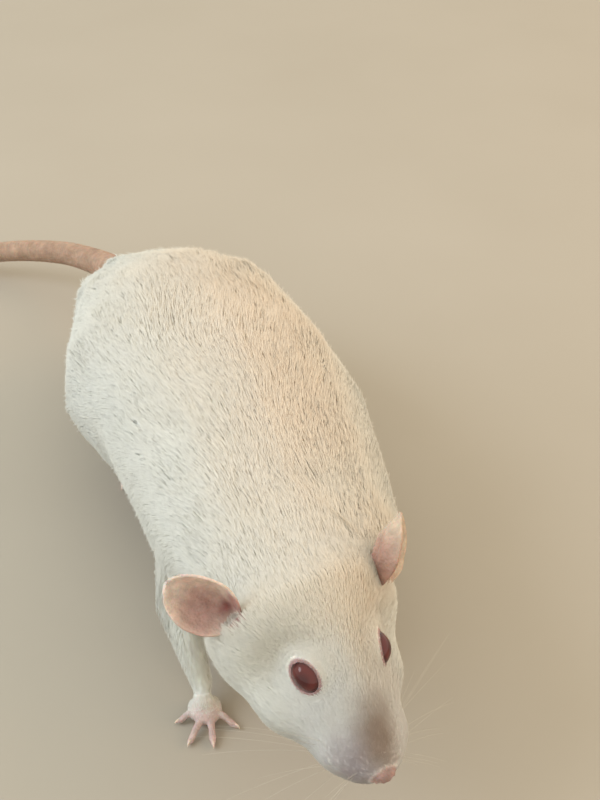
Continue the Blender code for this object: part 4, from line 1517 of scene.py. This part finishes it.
@dataclass
class Coat:
    """All fur: closed three-sided tufts that follow the lie of the coat, parted into pieces by region."""

    frame: RatFrame
    skin: Skin
    seed: int = 7
    most_tufts: int = 240000
    piece_tufts: int = 32800
    sink: float = 0.00025
    flatness: float = 0.20
    lock_share: float = 0.36
    shade_lean: float = 1.2
    roundness: float = 0.26
    stray_share: float = 0.035
    stray_rise: float = 1.35
    patch_reach: float = 0.0015
    before_nose: Vec3 = (0.0, -0.040, -0.006)
    tail_root: Vec3 = (-0.004, 0.092, 0.024)
    fore_lie: Vec3 = (0.0, -0.55, -0.9)
    hind_lie: Vec3 = (0.0, 0.75, -0.65)
    regions: tuple[Region, ...] = tuple(Region)

    def lie(self, points: np.ndarray, normals: np.ndarray, owner: np.ndarray) -> np.ndarray:
        """Which way the coat lies at each point, along the skin.

        Args:
            points: Places on the skin.
            normals: The skin's normals there.
            owner: Number of the core node that each belongs to.

        Returns:
            Unit directions in the skin.
        """
        rat = self.frame.to_rat(points)
        before_nose = np.array(self.frame.from_head(self.before_nose))
        from_nose = unit(points - before_nose)
        backwards = np.stack([0.22 * normals[:, 0], np.ones(len(points)),
                              -0.10 - 0.38 * (1 - np.clip(normals[:, 2], 0, 1))], -1)
        tail_root = np.array(self.frame.place(self.tail_root))
        to_tail = unit(tail_root - points)
        near_tail = ease(rat[:, 1], 0.030, 0.066)[:, None]
        trunk = unit(backwards) * (1 - near_tail) + to_tail * near_tail
        neck = unit(0.5 * from_nose + 0.5 * unit(backwards))
        fore = np.tile(self.fore_lie, (len(points), 1))
        hind = np.tile(self.hind_lie, (len(points), 1))
        table = np.stack([from_nose, neck, trunk, fore, fore, hind, hind])
        flow = table[owner, np.arange(len(points))]
        for eye in self.skin.eyes:
            apart = points - np.array(eye.middle())
            reach = np.linalg.norm(apart, axis=1)
            flow = flow + (0.9 * bell(reach, 0.0062))[:, None] * unit(apart)
        return flow

    def survey(self, skin: bpy.types.Object, bare: np.ndarray) -> Ground:
        """Measure the fields of the coat over the skin.

        Args:
            skin: The skin.
            bare: How bare each vertex is.

        Returns:
            The fields.
        """
        points, normals, edges = read_points(skin), read_normals(skin), read_edges(skin)
        rat, head = self.frame.to_rat(points), self.frame.to_head(points)
        core_gap, owner = self.skin.nearest(points, self.skin.core)
        ear_gap, _ = self.skin.nearest(points, ("ear_left", "ear_right"))
        foot_gap, _ = self.skin.nearest(points, self.skin.feet)
        tail_gap, _ = self.skin.nearest(points, self.skin.tails)
        ones = np.ones(len(points))
        back = head[:, 1]
        nape = ease(back, 0.004, 0.022)
        depth_head = 0.00035 + 0.00065 * ease(back, -0.024, 0.006) + 0.0009 * nape
        length_head = 0.0012 + 0.0012 * ease(back, -0.024, -0.002) + 0.0018 * nape
        width_head = 0.00013 + 0.00004 * ease(back, -0.02, 0.0) + 0.00005 * nape
        density_head = 13.5 - 2.5 * ease(back, -0.02, 0.004) - 2.5 * nape
        rear = ease(rat[:, 1], -0.080, -0.010)
        under = 1 - ease(normals[:, 2], -0.75, -0.25)
        depth_trunk = 0.0020 + 0.0009 * rear - 0.0006 * under
        length_trunk = 0.0062 + 0.0026 * rear - 0.0010 * under
        width_trunk = 0.00025 + 0.00006 * rear
        density_trunk = 3.6 - 0.7 * rear - 2.2 * under
        low_fore, low_hind = ease(rat[:, 2], 0.008, 0.040), ease(rat[:, 2], 0.008, 0.030)
        depth = np.stack([depth_head, 0.0019 * ones, depth_trunk, *[0.0005 + 0.0018 * low_fore] * 2,
                          *[0.0006 + 0.0026 * low_hind] * 2])
        length = np.stack([length_head, 0.0050 * ones, length_trunk, *[0.0015 + 0.0038 * low_fore] * 2,
                           *[0.0018 + 0.0055 * low_hind] * 2])
        width = np.stack([width_head, 0.00022 * ones, width_trunk, *[0.00015 + 0.00009 * low_fore] * 2,
                          *[0.00017 + 0.00012 * low_hind] * 2])
        density = np.stack([density_head, 5.0 * ones, density_trunk, *[8.0 - 5.0 * low_fore] * 2,
                            *[6.0 - 3.6 * low_hind] * 2])
        ruffle_trunk = 0.20 + 0.70 * rear - 0.3 * under * rear
        ruffle = np.stack([0.08 * ones, 0.14 * ones, ruffle_trunk, *[0.18 * ones] * 2, *[0.35 * ones] * 2])
        rows = np.arange(len(points))
        fields = np.stack([table[owner, rows] for table in (depth, length, width, density, ruffle)], -1)
        fields = spread(fields, edges, 24)
        flow = spread(self.lie(points, normals, owner), edges, 30)
        flow = unit(flow - normals * np.sum(flow * normals, axis=1, keepdims=True))
        fields[:, 3] *= np.clip(1.15 - 1.25 * bare, 0, 1)
        clear = 0.30 + 0.70 * ease(ear_gap, 0.0004, 0.0058)
        clear = clear * (1 - 0.60 * ease(core_gap - foot_gap, -0.0008, 0.0010))
        clear = clear * (1 - 0.32 * (1 - ease(tail_gap, 0.0004, 0.0110)))
        clear = clear * (1 - 0.62 * ease(core_gap - tail_gap, -0.0020, 0.0010))
        for eye in self.skin.eyes:
            local = (points - np.array(eye.middle())) @ np.array(eye.axes())
            reach = np.linalg.norm(local, axis=1)
            clear = clear * (0.32 + 0.68 * ease(reach, 0.0040, 0.0085))
            ring = np.hypot(local[:, 0] / eye.lid_radii[0], local[:, 1] / eye.lid_radii[1])
            fields[:, 3] *= np.maximum(ease(ring, 1.06, 1.20), ease(-local[:, 2], 0.0, 0.001))
        for ear in self.skin.ears:
            reach = np.linalg.norm((points - ear.bowl_middle()) / np.mean(ear.bowl_radii), axis=1)
            fields[:, 3] *= ease(reach, 0.90, 1.05)
        fields[:, 0] *= clear
        fields[:, 1] *= clear
        fields[:, 3] /= clear
        parting = self.skin.parting(points)
        fields[:, 3] *= 1 - 0.85 * parting
        region = self.regions_of(rat, head, normals, owner)
        return Ground(points, normals, read_triangles(skin), flow, *fields.T, region)

    def regions_of(self, rat: np.ndarray, head: np.ndarray, normals: np.ndarray,
                   owner: np.ndarray) -> np.ndarray:
        """Number of the region that each vertex lies in.

        Args:
            rat: Places in the rat's frame.
            head: Places in the head's frame.
            normals: The skin's normals.
            owner: Number of the core node that each belongs to.

        Returns:
            Region numbers.
        """
        region = np.full(len(rat), self.regions.index(Region.LEGS))
        on_head, on_neck, on_torso = owner == 0, owner == 1, owner == 2
        region[on_head & (head[:, 1] < -0.001)] = self.regions.index(Region.FACE)
        region[on_head & (head[:, 1] >= -0.001)] = self.regions.index(Region.CROWN)
        region[on_neck] = self.regions.index(Region.NECK)
        region[on_torso] = self.regions.index(Region.FLANK)
        region[on_torso & (normals[:, 2] < -0.35)] = self.regions.index(Region.BELLY)
        upper = on_torso & (normals[:, 2] > 0.35)
        region[upper] = self.regions.index(Region.BACK)
        region[upper & (rat[:, 1] < -0.055)] = self.regions.index(Region.SHOULDERS)
        region[on_torso & (rat[:, 1] > 0.012) & (normals[:, 2] > -0.35)] = self.regions.index(Region.RUMP)
        return region

    def unwrap(self, points: np.ndarray, region: Region) -> np.ndarray:
        """Unwrap of the skin's own shape: the angle round the body and the run along it.

        Args:
            points: Places on the skin.
            region: The region that they lie in.

        Returns:
            Two map coordinates for each.
        """
        if region in (Region.FACE, Region.CROWN):
            head = self.frame.to_head(points)
            angle = np.arctan2(head[:, 0], -(head[:, 2] + 0.009)) / (2 * np.pi) + 0.5
            return np.stack([angle, np.clip((head[:, 1] + 0.032) / 0.070, 0.01, 0.99)], -1)
        rat = self.frame.to_rat(points)
        if region is Region.LEGS:
            block = 2 * (rat[:, 0] > 0) + (rat[:, 1] > -0.055)
            middle = np.array([[-0.026, -0.085], [-0.030, 0.0], [0.024, -0.080], [0.030, -0.012]])[block]
            angle = np.arctan2(rat[:, 0] - middle[:, 0], rat[:, 1] - middle[:, 1]) / (2 * np.pi) + 0.5
            return np.stack([(block + angle) / 4, np.clip(rat[:, 2] / 0.06, 0.01, 0.99)], -1)
        angle = np.arctan2(rat[:, 0], -(rat[:, 2] - 0.040)) / (2 * np.pi) + 0.5
        return np.stack([angle, np.clip((rat[:, 1] + 0.125) / 0.205, 0.01, 0.99)], -1)

    def sow(self, ground: Ground, wanted: int) -> dict[str, np.ndarray]:
        """Draw the roots of the tufts, denser where the field says so.

        Args:
            ground: The fields of the coat.
            wanted: How many tufts.

        Returns:
            Fields at each root, by name.
        """
        draw = np.random.default_rng(self.seed)
        a, b, c = (ground.points[ground.triangles[:, i]] for i in range(3))
        area = np.linalg.norm(np.cross(b - a, c - a), axis=1) / 2
        weight = area * ground.density[ground.triangles].mean(axis=1)
        total = np.cumsum(weight)
        where = (np.arange(wanted) + draw.random(wanted)) / wanted * total[-1]
        pick = np.searchsorted(total, where)
        pick = np.minimum(pick, len(weight) - 1)
        s, t = draw.random((2, wanted))
        flip = s + t > 1
        s, t = np.where(flip, 1 - s, s), np.where(flip, 1 - t, t)
        share = np.stack([1 - s - t, s, t], -1)
        corners = ground.triangles[pick]

        def at(values: np.ndarray) -> np.ndarray:
            """Values of a field at the roots."""
            return np.einsum("nk,nk...->n...", share, values[corners])

        fields = {name: at(getattr(ground, name)) for name in ("depth", "length", "width", "ruffle")}
        crowd = at(ground.density) * wanted / total[-1]
        return {"root": at(ground.points), "normal": unit(at(ground.normals)), "lie": unit(at(ground.lie)),
                "crowd": crowd, "region": ground.region[corners[:, 0]], **fields}

    def slope(self, points: np.ndarray, ways: np.ndarray) -> np.ndarray:
        """How steeply the coat's humps rise.

        Args:
            points: Places on the skin.
            ways: The direction to measure along at each.

        Returns:
            The slope for each metre of depth.
        """
        step = 0.0006

        def hump(place: np.ndarray) -> np.ndarray:
            """Height of the humps as a share of the depth."""
            low, high = noise_at(place, 70.0, (5.0, 0.0, 0.0)), noise_at(place, 160.0, (1.0, 0.0, 0.0))
            return 0.50 * low + 0.24 * high

        return (hump(points + ways * step) - hump(points - ways * step)) / (2 * step)

    def comb(self, tufts: dict[str, np.ndarray]) -> dict[str, np.ndarray]:
        """Turn, lift and gather the tufts into locks.

        Args:
            tufts: Fields at each root.

        Returns:
            The middle and tip of each tuft, with its width and tone.
        """
        draw = np.random.default_rng(self.seed + 1)
        root, normal, lie, ruffle = (tufts[name] for name in ("root", "normal", "lie", "ruffle"))
        count = len(root)
        lock_size = 0.0003 + self.lock_share * tufts["length"]
        seeds = np.nonzero(draw.random(count) < 1.0 / (tufts["crowd"] * lock_size**2))[0]
        tree = kd_tree(root[seeds])
        lock = np.array([tree.find(point)[1] for point in root])
        first = seeds[lock]

        def wander(scale: float, offset: float) -> np.ndarray:
            """Smooth noise at the seeds of the locks."""
            return noise_at(root[seeds], scale, (offset, 0.0, 0.0))

        seed_turn = 1.3 * wander(48.0, 3.0) + 0.75 * wander(130.0, 9.0) + draw.normal(0, 0.13, len(seeds))
        seed_rise = 0.50 * wander(70.0, 5.0) + 0.24 * wander(160.0, 1.0) + draw.normal(0, 0.08, len(seeds))
        seed_bend = draw.normal(0, 0.13, len(seeds))
        turn = (seed_turn * ruffle[seeds])[lock] + draw.normal(0, 0.07, count)
        turn = turn + 0.05 * draw.normal(0, 1, count) * ruffle
        side = np.cross(normal, lie)
        way = lie * np.cos(turn)[:, None] + side * np.sin(turn)[:, None]
        across = np.cross(normal, way)
        length = tufts["length"] * draw.uniform(0.70, 1.12, count)
        layer = draw.uniform(0.66, 1.0, count)
        rise = tufts["depth"] * np.clip(1 + (seed_rise * ruffle[seeds])[lock], 0.45, 1.6) * layer
        stray = draw.random(count) < self.stray_share
        rise = np.where(stray, rise * self.stray_rise, rise)
        bend = ((seed_bend * ruffle[seeds])[lock] + draw.normal(0, 0.04, count)) * length
        middle = root + way * (0.44 * length)[:, None] + normal * (0.68 * rise)[:, None]
        middle = middle + across * bend[:, None]
        tip = root + way * length[:, None] + normal * rise[:, None] + across * (0.4 * bend)[:, None]
        goal = root[first] + way[first] * length[:, None] + normal[first] * rise[:, None]
        pull = (0.05 + 0.13 * ruffle)[:, None] * (1 - 0.8 * stray[:, None])
        pull = pull * (np.linalg.norm(goal - tip, axis=1, keepdims=True) < lock_size[:, None] * 2.0)
        tip = tip + (goal - tip) * pull
        middle = middle + (goal - tip) * pull * 0.25
        low = np.maximum(0.0001, 0.15 * tufts["depth"])
        tip[:, 2] = np.maximum(tip[:, 2], low)
        middle[:, 2] = np.maximum(middle[:, 2], low)
        lean = np.stack([self.slope(root[seeds], step) for step in (lie[seeds], side[seeds])], -1)
        lean = self.shade_lean * (lean * (tufts["depth"] * ruffle)[seeds, None])[lock]
        shade = unit(normal - lean[:, :1] * lie - lean[:, 1:] * side)
        tone = (1 + draw.normal(0, 0.010, len(seeds)))[lock] * draw.normal(1.0, 0.012, count)
        # painted shade: tufts that lie lower in the coat are a little darker, on top of the random tone
        tone = np.clip(tone * (0.955 + 0.05 * layer), 0.88, 1.05)
        width = tufts["width"] * draw.uniform(0.75, 1.2, count)
        return {"middle": middle, "tip": tip, "across": across, "width": width, "tone": tone, "shade": shade}

    def grow(self, name: str, tufts: dict[str, np.ndarray], shape: dict[str, np.ndarray], chosen: np.ndarray,
             region: Region, material: Material) -> bpy.types.Object:
        """Make one piece of the coat.

        Args:
            name: The piece's name.
            tufts: Fields at each root.
            shape: Middle, tip, width and tone of each tuft.
            chosen: Numbers of the tufts that belong to the piece.
            region: Its region.
            material: The coat's finish.

        Returns:
            The piece.
        """
        root, normal = tufts["root"][chosen], tufts["normal"][chosen]
        across, width = shape["across"][chosen], shape["width"][chosen][:, None]
        middle, tip = shape["middle"][chosen], shape["tip"][chosen]
        base = root - normal * self.sink
        up = unit(np.cross(unit(tip - root), across))
        up = np.where(np.sum(up * normal, axis=1, keepdims=True) < 0, -up, up)
        ring = [(0.0, self.flatness), (-0.5, -self.flatness / 2), (0.5, -self.flatness / 2)]
        belly = [middle + across * width * x + up * width * y for x, y in ring]
        points = np.stack([base, *belly, tip], axis=1)
        faces = np.array(TUFT_FACES)
        count = len(chosen)
        triangles = (faces[None] + 5 * np.arange(count)[:, None, None]).reshape(-1, 3)
        piece = mesh_from_arrays(name, points.reshape(-1, 3), triangles)
        piece.data.shade_smooth()
        ways = np.array([(0.0, 0.0), *ring, (0.0, 0.0)])
        radial = ways[None, :, 0, None] * across[:, None] + ways[None, :, 1, None] * up[:, None]
        soft = (radial * self.roundness + shape["shade"][chosen][:, None])[:, faces]
        soft[:, UNDERSIDE] = (radial * self.roundness - up[:, None])[:, faces[UNDERSIDE]]
        piece.data.normals_split_custom_set(unit(soft).reshape(-1, 3))
        tone = piece.data.attributes.new("tone", "FLOAT", "POINT")
        tone.data.foreach_set("value", np.repeat(shape["tone"][chosen], 5).astype(np.float32))
        patch = np.array([(0, -1), (0, 0.2), (-1, 0), (1, 0), (0, 1)]) * self.patch_reach
        place = self.unwrap(root, region)[:, None] + patch[None]
        layer = piece.data.uv_layers.new(name="OFBake")
        layer.uv.foreach_set("vector", place.reshape(-1, 2)[triangles.ravel()].astype(np.float32).ravel())
        finish_piece(piece, material, smooth=False)
        return piece

    def build(self, skin: bpy.types.Object, bare: np.ndarray, material: Material) -> None:
        """Grow the whole coat.

        Args:
            skin: The skin.
            bare: How bare each vertex is.
            material: The coat's finish.
        """
        ground = self.survey(skin, bare)
        wanted = self.most_tufts
        tufts = self.sow(ground, wanted)
        shape = self.comb(tufts)
        for number, region in enumerate(self.regions):
            members = np.nonzero(tufts["region"] == number)[0]
            if not len(members):
                continue
            order = members[np.argsort(tufts["root"][members, 0], kind="stable")]
            parts = max(1, math.ceil(len(order) / self.piece_tufts))
            for i, chosen in enumerate(np.array_split(order, parts)):
                name = f"coat_{region.value}" if parts == 1 else f"coat_{region.value}_{i + 1}"
                self.grow(name, tufts, shape, np.sort(chosen), region, material)


@dataclass
class Whiskers:
    """The long hairs of the whisker pads: thin tapering bows."""

    frame: RatFrame
    rows: tuple[int, ...] = (2, 3, 4, 3)
    longest: float = 0.027
    thick: float = 0.000025
    seed: int = 5

    def build(self, skin: bpy.types.Object, material: Material) -> None:
        """Make one piece of whiskers for each side.

        Args:
            skin: The skin that they grow from.
            material: Their finish.
        """
        tree = BVHTree.FromPolygons(read_points(skin).tolist(), read_triangles(skin).tolist())
        angle = np.linspace(0, 2 * np.pi, 5, endpoint=False)
        t = np.linspace(0, 1, 14)[:, None]
        for side, sign in SIDES.items():
            draw = np.random.default_rng(self.seed + sign)
            hairs = []
            for row, number in enumerate(self.rows):
                for k in range(number):
                    back = k / (number - 1)
                    local = (sign * (0.0055 + 0.0042 * back), -0.0225 + 0.0085 * back, -0.0056 - 0.0017 * row)
                    root = np.array(tree.find_nearest(self.frame.from_head(local))[0])
                    length = self.longest * (0.40 + 0.60 * back) * draw.uniform(0.85, 1.1)
                    spot, jitter = (0.82, -0.30 + 0.75 * back, 0.30 - 0.22 * row), (0.1, 0.1, 0.08)
                    way = Vector([value + reach * draw.normal() for value, reach in zip(spot, jitter)])
                    way = np.array((self.frame.turn @ Vector(mirrored(way, sign))).normalized())
                    fall = np.array([0.0, 0.10, -0.22 - 0.1 * draw.random()])
                    line = root - way * 0.0006 + length * (way * t + fall * t**2.2)
                    line[:, 2] = np.maximum(line[:, 2], 0.0006)
                    radius = self.thick * (1 - t) ** 0.8 + 0.000012
                    hairs.append(rolled_tube("whisker", along_line(line, radius, radius, angle)))
            finish_piece(join(hairs, f"whiskers_{side}"), material)


# The studio


@dataclass(frozen=True)
class Lamp:
    """A round lamp that shines at the rat, with its place in the rat's frame and its power in watts."""

    name: str
    at: Vec3
    size: float
    power: float
    colour: Colour
    mirrored_in_eyes: bool = False

    def build(self, frame: RatFrame, aim: Vec3) -> None:
        """Hang the lamp.

        Args:
            frame: Gives the rat's place.
            aim: The point that it shines at, in the rat's frame.
        """
        data = bpy.data.lights.new(self.name, "AREA")
        data.shape = "DISK"
        data.size = self.size
        data.energy = self.power
        data.color = self.colour
        lamp = bpy.data.objects.new(self.name, data)
        lamp.location = frame.place(self.at)
        lamp.rotation_euler = (frame.place(aim) - lamp.location).to_track_quat("-Z", "Y").to_euler()
        lamp.visible_glossy = self.mirrored_in_eyes
        bpy.context.scene.collection.objects.link(lamp)


@dataclass
class Studio:
    """Floor, lights and the camera at the photograph's viewing angle."""

    frame: RatFrame
    camera_at: Vec3 = (-0.0756, -0.329, 0.273)
    camera_down: float = 36.3
    camera_turn: float = -18.6
    image_height: int = 800
    focal_pixels: float = 1324.0
    sensor: float = 36.0
    floor_size: float = 6.0
    aim: Vec3 = (0.0, -0.05, 0.03)
    lamps: tuple[Lamp, ...] = (
        Lamp("soft_top", (-1.15, 0.0, 1.20), 0.62, 3.8, (0.92, 0.94, 1.0), mirrored_in_eyes=True),
        Lamp("warm_side", (0.95, -0.15, 0.65), 0.9, 4.5, (1.0, 0.58, 0.30)),
        Lamp("cool_side", (-0.95, 0.10, 0.60), 0.9, 5.5, (0.68, 0.82, 1.0)),
    )
    room: Colour = (1.0, 0.955, 0.81)
    room_strength: float = 1.12
    bounces: int = 16
    diffuse_bounces: int = 10

    def build_floor(self, material: Material) -> None:
        """Lay the floor.

        Args:
            material: Its finish.
        """
        bpy.ops.object.select_all(action="DESELECT")
        bpy.ops.mesh.primitive_plane_add(size=self.floor_size)
        floor = bpy.context.object
        floor.name = "studio_floor"
        floor.data.materials.append(material)

    def build_camera(self) -> None:
        """Set the camera."""
        data = bpy.data.cameras.new("camera")
        data.sensor_fit = "VERTICAL"
        data.sensor_height = self.sensor
        data.lens = self.sensor * self.focal_pixels / self.image_height
        data.clip_start = 0.01
        camera = bpy.data.objects.new("camera", data)
        camera.location = self.frame.place(self.camera_at)
        tilt, turn = math.radians(90 - self.camera_down), math.radians(self.camera_turn)
        camera.rotation_euler = Euler((tilt, 0.0, turn))
        bpy.context.scene.collection.objects.link(camera)
        bpy.context.scene.camera = camera

    def build_light(self) -> None:
        """Light the rat softly: cool from its right, warm from its left, and a pale room."""
        for lamp in self.lamps:
            lamp.build(self.frame, self.aim)
        world = bpy.data.worlds.new("studio")
        world.use_nodes = True
        shade = world.node_tree.nodes["Background"]
        shade.inputs["Color"].default_value = rgba(self.room)
        shade.inputs["Strength"].default_value = self.room_strength
        scene = bpy.context.scene
        scene.world = world
        scene.view_settings.view_transform = "Standard"
        scene.cycles.max_bounces = self.bounces
        scene.cycles.diffuse_bounces = self.diffuse_bounces


def make_ears(frame: RatFrame) -> list[Ear]:
    """The two ears, the left one turned away from the camera of the pose and the right one open to it."""
    return [
        # painted shade and warm cast: the left ear is tinted darker and warmer than the right
        Ear(frame, "left", (0.0164, 0.0134, 0.0034), (0.58, 0.70, 0.42), (0.62, -0.68, 0.30), length=0.0148,
            half_width=0.0070, sunk=0.0020, root_shares=(0.30, 0.20), shade_tint=(0.80, 0.76, 0.66)),
        Ear(frame, "right", (-0.0194, 0.0184, -0.0015), (-0.83, 0.32, 0.48), (-0.34, -0.80, 0.48),
            length=0.0164, half_width=0.0069, root_shares=(0.10, 0.42)),
    ]


def main() -> None:
    """Build the rat's looks round its solids."""
    logging.basicConfig(level=logging.INFO, format="%(name)s: %(message)s")
    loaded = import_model()
    frame = RatFrame()
    frame.settle()
    finishes = Finishes(MarkingsAndPaintedLight().build(frame), relief_group())

    eyes = [Eye(frame, side) for side in SIDES]
    skin_plan = Skin(frame, loaded["nodes"], make_ears(frame), eyes, Nose(frame), Tail(frame))
    skin, bare = skin_plan.build(finishes.skin())
    pupils = [(eye.middle(), Vector(eye.axes().col[2])) for eye in eyes]
    eye_finish = finishes.eye(pupils)
    for eye in eyes:
        ball = eye.ball(f"eyeball_{eye.side}")
        finish_piece(ball, eye_finish)
        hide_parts(f"eye_{eye.side}")
    Claws(frame).build(HORN.material())
    Coat(frame, skin_plan).build(skin, bare, finishes.coat())
    Whiskers(frame).build(skin, WHISKER.material())

    studio = Studio(frame)
    studio.build_floor(FLOOR.material())
    studio.build_light()
    studio.build_camera()
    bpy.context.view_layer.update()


if __name__ == "__main__":
    main()
